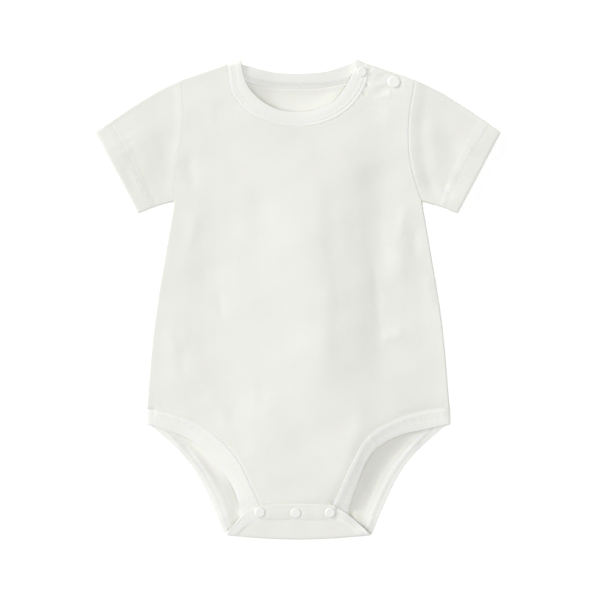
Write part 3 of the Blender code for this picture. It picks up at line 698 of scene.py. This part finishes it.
def back_top(fractions):
    """The back's top edge in plan: shoulder, neck seam, shoulder."""
    half_neck = [BAND_CROSSING, *sided(BACK_NECK_SEAM, "right")]
    neck = sided(half_neck, "right") + half_neck[-2::-1]
    right, left = (sided((SHOULDER_TIP, BAND_CROSSING), side) for side in ("right", "left"))
    return border((right, neck, left[::-1]), NECK_STOPS, fractions)


def back_panel():
    """The back, drawn straight past the fold and then turned up there, with seam ditches and flap ripples."""
    u = graded(240, 150)
    v = np.concatenate([
        np.linspace(start, end, count, endpoint=False)
        for start, end, count in zip(BACK_STOPS, BACK_STOPS[1:], BACK_COUNTS)
    ] + [[1.0]])
    right, left = back_border("right", v), back_border("left", v)
    bottom = along((right[0], left[0]), u)
    rows = np.interp(v, BACK_STOPS, BACK_MIDDLE)
    x, s = np.moveaxis(patch(bottom, back_top(u), right, left, u, rows), -1, 0)
    on_flap = rise(fold_start(x) - s, 6, 26)
    lift = on_flap * (0.12 * np.sin(x / 4.6 + 0.6 * np.sin(s / 7.0)) - 0.4)
    points = folded_up(x, s, lift)
    ditch = np.zeros(x.shape)
    for side in ("left", "right"):
        ditch += 0.4 * bell(near_line(x, s, evenly(ARMHOLE[side], 40))[0], 1)
        ditch += 0.75 * bell(near_line(x, s, evenly(sided(BACK_LEG_SEAM, side), 60))[0], 3)
    ditch += 0.75 * bell(near_line(x, s, back_top(np.linspace(*NECK_ENDS, 90)))[0], 3)
    points[..., 2] += np.where(s > fold_start(x), lower(x, s) + ditch, 0.0)
    flat = cut_plan(np.dstack([x, s, points[..., 2] * (s > fold_start(x))]))
    made = sheet_object("back_cloth", points[:, ::-1], flat[:, ::-1], interlock, CLOTH)
    dress(made, "back_panel")
    return made


back_cloth = back_panel()


# Sleeves
# Two short set-in sleeves of the same interlock. Each is a flat tube sewn to the armhole, and its
# cuff is a 15 mm hem turned inside and held by two rows of needle stitches.

SLEEVE_START = {"left": 0.1, "right": 0.02}  # how far from the armhole each sleeve's cloth starts
CUFF_DEPTH = 15.0  # the hem
HEM_ROLL = 0.8  # radius of the turned cuff
NEEDLES = 2.4  # between the two rows of a twin needle
PITCH = 2.6  # length of one stitch with its gap
STITCH = 0.74  # the share of its pitch that a stitch fills
THREAD_LIFT = 0.04  # a thread's path above the cloth
HEM_THREAD = 0.22  # its radius
GROOVE = 0.13  # how deep a needle row lies
CUFF_WIDTH = 76.0  # the distance over which the stitches' dents are counted across the cuff


def sleeve_line(line, start, stages):
    """Points along one edge of the sleeve: stage 0 at the armhole, 1 at the hem's top and 2 at the cuff."""
    length = run_of(evenly(line, 80))[-1]
    at = np.interp(stages, (0, 1, 2), (start, length - CUFF_DEPTH, length - HEM_ROLL))
    return along(line, at / length)


def sleeve_plan(side, stages, share):
    """Plan points of a sleeve by stage, and by share of the way from its top edge to its under edge."""
    top, under = (sleeve_line(line, SLEEVE_START[side], stages) for line in (SLEEVE_TOP, SLEEVE_UNDER))
    seam = along(sided(ARMHOLE[side], side), share[::-1])
    straight = seam[0] + (seam[-1] - seam[0]) * share[:, None]
    bow = (seam - straight)[None] * (1 - stages / 2)[:, None, None] ** 1.5
    plan = top[:, None] + (under - top)[:, None] * share[None, :, None] + bow
    return plan * ((1, 1) if side == "left" else (-1, 1))


def grooves(away, run, rows, width, dented):
    """Depth of the needle rows across a seam: bell curves, shallower by a share dented between stitches."""
    dents = 1 - dented + dented * np.cos(2 * np.pi * run / PITCH)
    return GROOVE * dents * sum(bell(away - row, width) for row in rows)


def hem_relief(stages, run):
    """Hem height by stage: a fuller hem, its two needle rows and short ripples."""
    from_top = (stages - 1) * CUFF_DEPTH
    height = 0.24 * between(from_top, -1.8, -0.4, 13.2, CUFF_DEPTH)
    height = height - grooves(from_top, run, (0, NEEDLES), 0.5, 0.25)
    return height + pucker(np.abs(from_top - NEEDLES / 2), run, 9, 6, 0.1)


def stitch_threads(name, rows, radius):
    """Cotton thread stitches: each a tube of four five-sided rings, arched up and closed at both ends.

    A ring's centre is on the line from start to end, raised by 1 - (2t - 1)^2 of the arch, and its
    radius is smaller at the ends, which sink into the cloth.
    """
    starts, ends, ups = (np.concatenate(parts) for parts in zip(*rows))
    t = np.array((0.0, 0.25, 0.75, 1.0))[:, None]
    size = radius * np.array((0.5, 1.0, 1.0, 0.5))
    arch = 1.1 * radius * (1 - (2 * t - 1) ** 2) - 0.7 * radius
    aside = unit(np.cross(unit(ends - starts), ups))
    over = np.cross(aside, unit(ends - starts))
    centres = starts[:, None] + (ends - starts)[:, None] * t + over[:, None] * arch
    angle = (np.arange(5) * 2 * np.pi / 5)[:, None]
    ring = np.cos(angle) * aside[:, None, None] + np.sin(angle) * over[:, None, None]
    points = centres[:, :, None] + size[None, :, None, None] * ring
    points[..., 2] = np.maximum(points[..., 2], 0.0)
    first = np.arange(len(starts))[:, None] * 20
    k = np.arange(15)
    near, far = k // 5 * 5 + k % 5, k // 5 * 5 + (k + 1) % 5
    sides = first[:, :, None] + np.stack([near + 5, far + 5, far, near], axis=-1)[None]
    caps = (first + np.arange(5)).tolist() + (first + np.arange(19, 14, -1)).tolist()
    made = object_of(name, points, sides.reshape(-1, 4).tolist() + caps, thread)
    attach(made, "root")


def stitch_places(path):
    """The run along a path, and the distance at which each stitch of a row starts."""
    run = run_of(path)
    return run, np.arange(0.3, run[-1] - PITCH, PITCH)


def row_of(path, ups):
    """A row of running stitches along a path: their starts, ends and the cloth's outward directions."""
    run, first = stitch_places(path)
    ends = at_run(run, path, first + STITCH * PITCH)
    return at_run(run, path, first), ends, unit(at_run(run, ups, first + PITCH / 2))


def zigzag_of(left, right, ups):
    """A looper thread that crosses between two paths: a stitch over, and a stitch back."""
    run, first = stitch_places((left + right) / 2)
    half = at_run(run, right, first + PITCH / 2)
    starts = np.concatenate([at_run(run, left, first), half])
    ends = np.concatenate([half, at_run(run, left, first + PITCH)])
    return starts, ends, unit(at_run(run, ups, np.concatenate([first + PITCH / 4, first + 0.75 * PITCH])))


def thread_cotton():
    """Matt white sewing cotton, its twist a fine diagonal wave on Object coordinates, as a bump and as
    painted shade.
    """
    material, tree, shader = new_material("sewing_thread", {"Roughness": 0.75, "Specular IOR Level": 0.25})
    place = add_node(tree, "TexCoord", {}).outputs["Object"]
    twist = add_node(tree, "TexWave", {"Scale": 900.0, "Distortion": 1.5, "Vector": place})
    twist.bands_direction = "DIAGONAL"
    # painted shade: light holds the darker colour, given to the twist's low bands, and dark the lighter one,
    # given to its raised bands
    light, dark = (0.84, 0.845, 0.815), (0.89, 0.892, 0.872)
    tint_and_bump(tree, shader, twist.outputs["Fac"], light, dark, twist.outputs["Fac"], 0.4, 0.08)
    return material


thread = thread_cotton()


def ring_normals(grid):
    """Outward directions of a tube's rings, from the steps round it and along it."""
    round_it = np.roll(grid, -1, axis=1) - np.roll(grid, 1, axis=1)
    return unit(np.cross(round_it, np.gradient(grid, axis=0)))


def sleeve(side):
    """One sleeve: rings round both layers from armhole to cuff, a rolled cuff, and the hem's inner layer."""
    share = graded(104, 84, reach=10)
    stages = np.append(1 - graded(80, 92)[::-1][:-8], np.linspace(1.0, 2.0, 46)[1:])
    x, y = np.moveaxis(sleeve_plan(side, stages, share), -1, 0)
    hem = hem_relief(stages[:, None], share * CUFF_WIDTH)
    fade = turned(edge_distance(x, y), TURN)
    over = np.dstack([x, y, upper(x, y) + hem * fade])
    ditch = 0.4 * bell(near_line(x, y, evenly(ARMHOLE[side], 40))[0], 0.9)
    beneath = np.dstack([x, y, lower(x, y) + ditch + np.maximum(0.3 - hem, 0) * fade])[:, -2:0:-1]
    outer = np.concatenate([over, beneath], axis=1)
    if side == "right":
        outer = outer[:, ::-1]
    out = ring_normals(outer)
    cuff = outer[-1] - HEM_ROLL * out[-1]
    ahead = unit(outer[-1] - outer[-4])
    angle = np.linspace(0, math.pi, 8)[1:-1, None, None]
    roll = cuff + HEM_ROLL * (np.cos(angle) * out[-1] + np.sin(angle) * ahead)
    hem_rings = (stages >= 1.05) & (np.arange(len(stages)) % 3 == 0)
    inner = (outer - 2 * HEM_ROLL * out)[hem_rings][::-1]
    grid = np.concatenate([outer, roll, inner], axis=0)
    rings = np.concatenate([grid, grid[:, :1]], axis=1)
    u, v = (totals(np.linalg.norm(np.diff(rings, axis=axis), axis=2), axis) for axis in (1, 0))
    uv = np.stack([u, -v], axis=-1)
    made = sheet_object("sleeve_cloth_" + side, grid, uv, interlock, CLOTH, closed=True)
    dress(made, "sleeve_" + side)
    rows = []
    for stage in (1.0, 1.0 + NEEDLES / CUFF_DEPTH):
        level = np.argmin(np.abs(stages - stage))
        path, ups = (np.vstack([ring[level], ring[level][:1]]) for ring in (outer, out))
        rows.append(row_of(path + THREAD_LIFT * ups, ups))
    stitch_threads("hem_stitches_" + side, rows, HEM_THREAD)
    return made


for side in ("left", "right"):
    sleeve_cloth = sleeve(side)


# Neck band
# A strip of cotton rib folded over the neck edge and held by a twin needle, whose looper thread
# zigzags on the inside. Its back end is tucked under its front end at the left shoulder.

BAND = 2.0  # thickness of the folded band
BACK_NECK_EDGE = (
    (-49.6, 206.7), (-40.5, 204.6), (-24.6, 201.3), (0, 199.3), (24.6, 201.3), (36, 204.3),
    (42.9, 206.6), (47.8, 209),
)
NECK_CORNERS = np.array(((51.2, 211.4), (-49.6, 212)))  # where its free edge crosses the shoulders
NECK_CORNER_INSET = (0.3, 1)
TUCK = (13, 4.4)  # the tucked end's length and height
TUCK_WAY = (-0.25, -0.968)  # the way it runs from the shoulder
BAND_ROWS = (3.3, 5.8)  # the needle rows, from the seam
BAND_THREAD = 0.2  # radius of their thread
RIB = 0.75  # one layer of rib
BAND_SUNK = 0.25  # how far a band's seam lies into the panels
PUCKERED = 85.0  # how far from its front end the band is puckered
NECK_SINK = 1.0  # how much lower its free edge lies than its seam
FOLD_ANGLES = np.linspace(math.pi / 2, -math.pi / 2, 9)[1:-1]  # round a folded strip's edge

# painted shade: the darker off-white also darkens the rib's low places, through cotton()
rib = cotton("rib_cotton", 1.5, 0.9, 0.16, 0.3, (0.915, 0.917, 0.884), (0.898, 0.901, 0.862))


def over_edge(start, corner, end, count):
    """Carries a rail round the outline from one layer to the other, on half an oval out to the corner."""
    angle = np.linspace(0, math.pi, count + 2)[1:-1, None]
    near = np.where(angle < math.pi / 2, start, end)
    plan = near[:, :2] + (np.array(corner) - near[:, :2]) * np.sin(angle)
    z = (start[2] + end[2]) / 2 + (start[2] - end[2]) / 2 * np.cos(angle)
    return np.column_stack([plan, z])


def on_upper(points, sunk=0.0):
    """Plan points at the middle of the upper layer's wall, or sunk below it."""
    x, y = points.T
    return np.column_stack([points, laid(x, y) - WALL / 2 - sunk])


def at_height(points, z):
    """Plan points at this height."""
    return np.column_stack([points, np.broadcast_to(z, len(points))])


def eased(rail, passes=6):
    """A rail whose inner points are averaged with their neighbours a few times, to round its kinks."""
    for _ in range(passes):
        rail = np.vstack([rail[:1], rail[:-2] / 4 + rail[1:-1] / 2 + rail[2:] / 4, rail[-1:]])
    return rail


def section_height(d, width, run, ridged):
    """Top face of a band at distance d from its seam: a rolled lip, two dented needle rows and a full edge.

    Over the first ridged millimetres of its run it is puckered into two ridges, one each side of a row.
    """
    height = 0.7 + (BAND / 2 - 0.75) * rise(d, -0.7, 2) + 0.03 * bell(d - 1.6, 0.9)
    height = height - grooves(d, run, BAND_ROWS, 0.55, 0.3)
    ridges = bell(d - 1, 0.8) + bell(d - 4.6, 0.8)
    height = height + 0.25 * (1 - rise(run, ridged - 25, ridged)) * ridges
    full = np.clip((d - 6.6) / np.maximum(width - 6.6, 1), 0, 1)
    return height + 0.12 * np.sin(np.pi * full) + pucker(np.abs(d - 4.5), run, 6, 4, 0.06)


def strip_cut(run, d, h):
    """Where a folded strip's points lie on its flat cut: the run along it, and the way round its section."""
    v = totals(np.hypot(np.diff(d, axis=1), np.diff(h, axis=1)), 1)
    return np.stack([np.broadcast_to(run, v.shape), v], axis=-1)


def band(name, edge, seam, ridged=0.0, joint=None):
    """A strip of rib folded at its free edge, carried along two rails.

    Across the strip the surface runs over the top face from seam to free edge, round half a circle, and
    back under. Its up direction is square to both the rail and the strip, and its thickness rounds off
    over the last millimetre at both ends. At a joint in the strip it has a low ridge, and is a little
    wider past it.
    """
    edge, seam = eased(edge), eased(seam)
    across = unit(edge - seam)
    width = np.linalg.norm(edge - seam, axis=1)[:, None]
    middle = (edge + seam) / 2
    run = run_of(middle)[:, None]
    up = unit(eased(np.cross(np.gradient(middle, axis=0), across), 10))
    up = up * np.sign(up[0, 2])
    past_joint = np.full_like(run, np.inf)
    if joint is not None:
        past_joint = run - run[np.argmin(np.hypot(*(middle[:, :2] - joint).T))]
    wave = 0.25 * np.sin(run / 21.0 + 1.0) + 0.15 * np.sin(run / 8.7)
    wave = wave + 1.3 * between(past_joint, -0.5, 0.5, 4, 30)
    half = BAND / 2
    blunt = 0.3 * half
    reach = width + wave - blunt
    d_top = -0.5 + (reach + 0.5) * graded(13, 30, reach=4)
    h_top = section_height(d_top, width, run, ridged) + 0.3 * bell(past_joint, 1)
    d_fold = reach + blunt * np.cos(FOLD_ANGLES)
    h_fold = half * np.sin(FOLD_ANGLES) * np.ones_like(reach)
    d_under = reach - (reach + 1.2) * np.linspace(0, 1, 18)
    h_under = -half + 0.4 * (1 - rise(d_under, -1, 4)) + 0.5 * (1 - rise(d_under, -1.2, 0))
    ends = turned(run + 0.052, 1.3) * turned(run[-1] - run + 0.052, 1.3)
    d = np.hstack([d_top, d_fold, d_under])
    h = np.hstack([h_top, h_fold, h_under]) * ends
    grid = seam[:, None] + across[:, None] * d[..., None] + up[:, None] * h[..., None]
    grid[..., 2] = np.maximum(grid[..., 2], 0.0)
    uv = strip_cut(run, d, h)
    if np.cross(middle[1] - middle[0], across[0]) @ up[0] > 0:
        grid, uv = grid[::-1], uv[::-1]
    made = sheet_object(name, grid, uv, rib, RIB)
    rows = []
    for row in BAND_ROWS:
        place = section_height(np.full_like(width, row), width, run, ridged) * ends
        rows.append(row_of(seam + across * row + up * (place + THREAD_LIFT), up))
    under = seam - up * (half + 0.02)
    rows.append(zigzag_of(under + across * (BAND_ROWS[0] - 1.0), under + across * (BAND_ROWS[1] + 0.4), -up))
    stitch_threads(name + "_stitches", rows, BAND_THREAD)
    return made


def neck_rail(front, back, corners, sunk=0.0):
    """One edge of the neck band, from its front end on the left shoulder to its tucked back end.

    The rail runs back along the front, over the right shoulder, along the back, and over the left
    shoulder to lie under its own front end. Between its ends it is sunk on the front, and raised by
    one and a half times as much on the back.
    """
    t = np.linspace(-1, 1, len(front))
    front = on_upper(front[::-1], BAND_SUNK + sunk * (1 - t**6) * (0.25 + 0.75 * rise(t, -0.7, 0)))
    rolled = 1.5 * sunk * (1 - np.linspace(-1, 1, len(back)) ** 4)
    back = at_height(back, BAND / 2 + neck_lift(*back.T) + rolled)
    reach = np.linalg.norm(back[-1, :2] - corners[0])
    tuck = corners[0] + np.multiply.outer(np.linspace(reach, TUCK[0], 16), TUCK_WAY)
    tuck = at_height(tuck, TUCK[1])
    over_right = over_edge(front[-1], corners[1], back[0], 16)
    over_left = over_edge(back[-1], corners[0], tuck[0], 12)
    return np.vstack([front, over_right, back, over_left, tuck])


def neck_band():
    """The neck band, whose seam edge takes its points from the panels' edges."""
    seam_corner = np.subtract(BAND_CROSSING, NECK_CORNER_INSET)
    edge = neck_rail(evenly(NECK_EDGE, 300), evenly(BACK_NECK_EDGE, 190), NECK_CORNERS, NECK_SINK)
    seams = (front_top(np.linspace(*NECK_ENDS, 300)), back_top(np.linspace(*NECK_ENDS, 190)))
    seam = neck_rail(*seams, (seam_corner, seam_corner * (-1, 1)))
    made = band("neck_rib", edge, seam, ridged=PUCKERED)
    dress(made, "neck_band")
    return made


neck_rib = neck_band()


# Leg bindings
# The same folded rib round each leg opening, stitched as the neck band is. Each strip runs from
# under the placket round the leg to the end of the flap, so it is one piece turned up with it.

BACK_LEG_EDGE = (
    (128.6, -111), (105.5, -132), (92.7, -147.8), (83.1, -163.7), (75.8, -179.5), (65.8, -203),
)
LEG_SEAM_INSET = (0.1, 0.6)
LEG_CORNER_INSET = (0, 1.5)
FLAP_BAND_PROUD = 0.6  # how far the leg bindings stand above the flap
LEG_SINK = 2.1  # how much lower a front leg's free edge lies than its seam
FLAP_SINK = 1.7  # and how much lower the left one's free edge on the flap lies
LEG_JOINTS = {"left": (64.5, -122.5)}  # where a strip's ends are joined on the front, when that shows
LEG_TURN = 0.036  # the share of a front leg seam that turns over at the side


def leg_rail(front, rest, corner, sunk=0.0):
    """One edge of a leg binding: the front leg, round the side, then the back leg, fold and flap.

    It is sunk by a share that is least at the tab and the side, and droops on the left of the flap.
    """
    t = np.linspace(0, 1, len(front))
    share = (0.15 + 0.85 * rise(t, 0, 0.25)) * (1 - 0.8 * rise(t, 0.72, 1))
    front = on_upper(front, BAND_SUNK + sunk * share)
    x, s = rest.T
    turn = np.clip((fold_start(x) - s) / FOLD_RADIUS, 0, math.pi) / math.pi
    rest = folded_up(x, s, BAND / 2 - FLAP_BAND_PROUD * turn)
    rest[:, 2] += leg_lift(x, s) * (s > fold_start(x))
    past = fold_start(x) - s - math.pi * FOLD_RADIUS
    droop = rise(past, 0, 8) * (1 - 0.5 * rise(past, 12, 19))
    rest[:, 2] -= FLAP_SINK * droop * (x > 0) * sunk / LEG_SINK
    return np.vstack([front, over_edge(front[-1], corner, rest[0], 14), rest])


def leg_binding(side):
    """One leg's binding, whose seam edge takes its points from the panels' edges."""
    corners = (np.subtract(SIDE[0], LEG_SEAM_INSET), np.subtract(SIDE_CORNER, LEG_CORNER_INSET))
    seam_corner, edge_corner = sided(corners, side)
    legs, folds, flaps = np.linspace(0, 1, 180), np.linspace(0, 1, 24)[1:], np.linspace(0, 1, 44)[1:]
    front_seam = along(LEG_SEAM[side], np.linspace(0, 1 - LEG_TURN, 200))
    # Fractions of the back's border: down from the side, over the fold and along the flap
    v = np.concatenate([0.41 - 0.27 * legs, 0.14 - 0.04 * folds, 0.10 - 0.07 * flaps])
    seam = leg_rail(front_seam, back_border(side, v), seam_corner)
    back = sided(BACK_LEG_EDGE, side)
    flap = unfolded(FLAP_EDGE[side][::-1])
    rest = [along(back, legs), along((back[-1], flap[0]), folds), along(flap, flaps)]
    edge = leg_rail(evenly(LEG_EDGE[side], 200), np.vstack(rest), edge_corner, LEG_SINK)
    made = band("leg_rib_" + side, edge, seam, joint=LEG_JOINTS.get(side))
    dress(made, "leg_binding_" + side)
    return made


for side in ("left", "right"):
    leg_rib = leg_binding(side)


# Shoulder underlap
# The back shoulder's extension, a strip of interlock flat under the front's open edge. The
# shoulder snap's lower half is set in it.

UNDERLAP = {"from": -0.06, "to": 0.86, "depth": 13.0, "height": 4.8}


def shoulder_underlap():
    """A flat strip inside the shoulder's line, level between the layers, with one faint ripple."""
    t = np.linspace(UNDERLAP["from"], UNDERLAP["to"], 60)[:, None]
    inset = np.linspace(UNDERLAP["depth"], 0.3, 24)[:, None, None]
    plan = open_shoulder(t, inset)
    z = UNDERLAP["height"] + 0.12 * np.sin(plan[..., 0] / 4.0) - 0.25 * rise(-inset[..., 0], -1.2, -0.3)
    grid = np.dstack([plan, z])
    made = sheet_object("underlap_cloth", grid, cut_plan(grid), interlock, CLOTH)
    dress(made, "shoulder_underlap")
    return made


underlap_cloth = shoulder_underlap()


# Crotch placket
# A strip of interlock folded double along the flap's upper edge, stitched along its lower side. It
# carries the caps of the three crotch snaps, so it dips at each and puffs between them.

PLACKET = {"x_right": -37.8, "x_left": 33.4, "y_top": -178.9, "y_bottom": -192.9}
PLACKET_HEIGHT = 2 * FOLD_RADIUS + FLAP_BAND_PROUD + 0.2
PLACKET_ROWS = (2.4, 4.2)  # its stitch rows, from the lower edge
PLACKET_LAYER = 0.5  # one layer of it
PLACKET_HALF = 0.6  # half of the strip's thickness where it is folded


def placket_top(x, d):
    """Top of the placket at distance d from its lower edge: puffed between snaps, with its stitch rows.

    It comes down towards the flap over its lowest 2 mm, least where its edge stands off a little.
    """
    puff = 0.12 * np.sin(np.pi * np.clip(d / 14.0, 0, 1))
    height = PLACKET_HEIGHT + puff + 0.04 * np.sin(x / 2.6) * np.exp(-d / 6.0)
    height = height - (0.35 - 0.25 * bell(x - 15, 9)) * (1 - rise(d, -0.5, 2))
    for name in ("snap_crotch_right", "snap_crotch_middle", "snap_crotch_left"):
        away = np.hypot(x - SNAPS[name][0], PLACKET["y_bottom"] + d - SNAPS[name][1])
        height = height - 0.3 * bell((away / 6) ** 2, 1)
    return height - grooves(d, x, PLACKET_ROWS, 0.5, 0.3)


def crotch_placket():
    """The strip carried from its lower edge over the top, round the upper fold, and back underneath."""
    length = PLACKET["x_left"] - PLACKET["x_right"]
    middle = PLACKET["x_right"] + length / 2
    x = (PLACKET["x_right"] + length * graded(71, 110, reach=5))[:, None]
    rounded = turned(np.minimum(x - PLACKET["x_right"], PLACKET["x_left"] - x) + 0.05, 2.5)
    bow = -0.9 * (2 * (x - middle) / length) ** 2
    depth = (PLACKET["y_top"] - PLACKET["y_bottom"] + bow) * (0.82 + 0.18 * rounded)
    reach = depth - PLACKET_HALF
    d_top = reach * graded(14, 34, reach=4)
    h_top = placket_top(x, d_top)
    d_fold = reach + PLACKET_HALF * np.cos(FOLD_ANGLES)
    h_fold = placket_top(x, reach) - PLACKET_HALF + PLACKET_HALF * np.sin(FOLD_ANGLES)
    d_under = reach * np.linspace(1, 0.1, 10)
    h_under = placket_top(x, d_under) - 2 * PLACKET_HALF
    d = np.hstack([d_top, d_fold, d_under])
    h = np.hstack([h_top, h_fold, h_under])
    flap_top = 2 * FOLD_RADIUS + 0.1
    h = flap_top + (h - flap_top) * (0.35 + 0.65 * rounded)
    grid = np.stack([np.broadcast_to(x, d.shape), PLACKET["y_bottom"] + d, h], axis=-1)
    uv = strip_cut(x, d, h)
    made = sheet_object("placket_cloth", grid[::-1], uv[::-1], interlock, PLACKET_LAYER)
    dress(made, "crotch_placket")
    line = np.linspace(PLACKET["x_right"] + 2.0, PLACKET["x_left"] - 2.0, 200)
    rows = []
    for row in PLACKET_ROWS:
        path = [line, np.full(200, PLACKET["y_bottom"] + row), placket_top(line, row) + 0.1]
        rows.append(row_of(np.column_stack(path), np.tile((0.0, 0.0, 1.0), (200, 1))))
    stitch_threads("placket_stitches", rows, BAND_THREAD)
    return made


placket_cloth = crotch_placket()


# Snaps
# Five press fasteners with moulded caps in off-white plastic: one on the neck band, one on the
# shoulder and three on the placket. Each cap is a shallow dome with a dished middle.

SNAP_SECTION = (
    (0, 0.92), (0.18, 0.92), (0.36, 0.93), (0.5, 0.955), (0.6, 0.99), (0.67, 1), (0.75, 0.97),
    (0.83, 0.87), (0.9, 0.7), (0.96, 0.47), (0.995, 0.24), (1, 0.1), (0.98, 0), (0.92, -0.1), (0, -0.1),
)  # shares of a cap's radius and height
SNAP_REACH = 4.0  # a cap sits square to the cloth's slope over this distance each way
CAP_LIFT = 0.05  # a cap's foot above the cloth


def moulded():
    """Satin moulded plastic, faintly uneven in gloss and surface on Object coordinates."""
    material, tree, shader = new_material("snap_plastic", {"Specular IOR Level": 0.5})
    place = add_node(tree, "TexCoord", {}).outputs["Object"]
    grain = add_node(tree, "TexNoise", {"Scale": 900.0, "Detail": 3.0, "Vector": place}).outputs[0]
    feed(tree, shader, {"Roughness": math_node(tree, "MULTIPLY_ADD", grain, 0.2, 0.38)})
    tint_and_bump(tree, shader, grain, (0.85, 0.855, 0.825), (0.87, 0.875, 0.845), grain, 0.15, 0.05)
    return material


snap_plastic = moulded()


def snap_cap(name, place, up):
    """A cap turned from its section about its own upright, with closed poles."""
    radius, height = SNAPS[name][2:]
    knots = run_of(np.array(SNAP_SECTION))
    section = hermite(knots, SNAP_SECTION, np.linspace(0, knots[-1], 34)) * (radius, height)
    section[[0, -1], 0] = 0.0
    aside = unit(np.cross((0.0, 1.0, 0.0), up))
    ahead = np.cross(up, aside)
    angle = np.arange(40) * 2 * np.pi / 40
    round_it = np.cos(angle)[:, None] * aside + np.sin(angle)[:, None] * ahead
    grid = place + section[:, None, :1] * round_it + section[:, None, 1:] * up
    uv = np.zeros((len(section), len(angle) + 1, 2))
    made = sheet_object(name + "_cap", grid[:, ::-1], uv, snap_plastic, None, closed=True)
    shape = bmesh.new()
    shape.from_mesh(made.data)
    bmesh.ops.remove_doubles(shape, verts=shape.verts, dist=1e-7)
    bmesh.ops.recalc_face_normals(shape, faces=shape.faces)
    shape.to_mesh(made.data)
    shape.free()
    made.data.shade_smooth()
    dress(made, name)


for name, (x, y, *_) in SNAPS.items():
    if name.startswith("snap_crotch"):
        top = float(placket_top(np.array(x), np.array(y - PLACKET["y_bottom"])))
        snap_cap(name, np.array((x, y, top + CAP_LIFT)), np.array((0.0, 0.0, 1.0)))
        continue
    reach = SNAP_REACH * np.array([0, 1, 0, -1, 0])
    z = upper(x + reach, y + np.roll(reach, 1))
    lean = unit(np.array((z[3] - z[1], z[4] - z[2], 2 * SNAP_REACH)))
    proud = (BAND - WALL) / 2 if name == "snap_neck" else 0.0
    snap_cap(name, np.array((x, y, z[0] + proud + CAP_LIFT)), lean)


# Table, light and camera
# A pale table, a soft window-like light from the upper left, a wide panel of light overhead, a
# bright room, and a camera straight above the garment.

CAMERA_HEIGHT = 2.5  # metres
VIEW_WIDTH = 0.528  # metres of table from one side of the picture to the other

bpy.ops.mesh.primitive_plane_add(size=8, location=(0, 0, -0.0004))
table = bpy.context.object
table.name = "table"
paint = new_material("pale_table", {
    "Base Color": (0.93, 0.93, 0.93, 1),
    "Roughness": 0.9,
    "Emission Color": (1, 1, 1, 1),
    "Emission Strength": 0.3,
})[0]
table.data.materials.append(paint)

scene = bpy.context.scene
scene.view_settings.view_transform = "Standard"
world = bpy.data.worlds.new("bright_room")
world.use_nodes = True
sky = world.node_tree.nodes["Background"]
feed(world.node_tree, sky, {"Color": (1.0, 1.0, 1.0, 1), "Strength": 0.37})
scene.world = world

for name, place, energy, angle in (
    ("soft_window", (-1.4, 0.6, 0.56), 2.05, 28.0),
    ("ceiling_panel", (0.0, 0.0, 1.5), 1.16, 50.0),
):
    lamp = bpy.data.lights.new(name, "SUN")
    lamp.energy = energy
    lamp.angle = math.radians(angle)
    light = bpy.data.objects.new(name, lamp)
    light.location = place
    light.rotation_euler = (-light.location).to_track_quat("-Z", "Y").to_euler()
    scene.collection.objects.link(light)

lens = bpy.data.cameras.new("camera")
lens.sensor_width = 36.0
lens.lens = lens.sensor_width * CAMERA_HEIGHT / VIEW_WIDTH
lens.clip_end = 20.0
camera = bpy.data.objects.new("camera", lens)
camera.location = (0.0018, 0.0, CAMERA_HEIGHT)
scene.collection.objects.link(camera)
scene.camera = camera
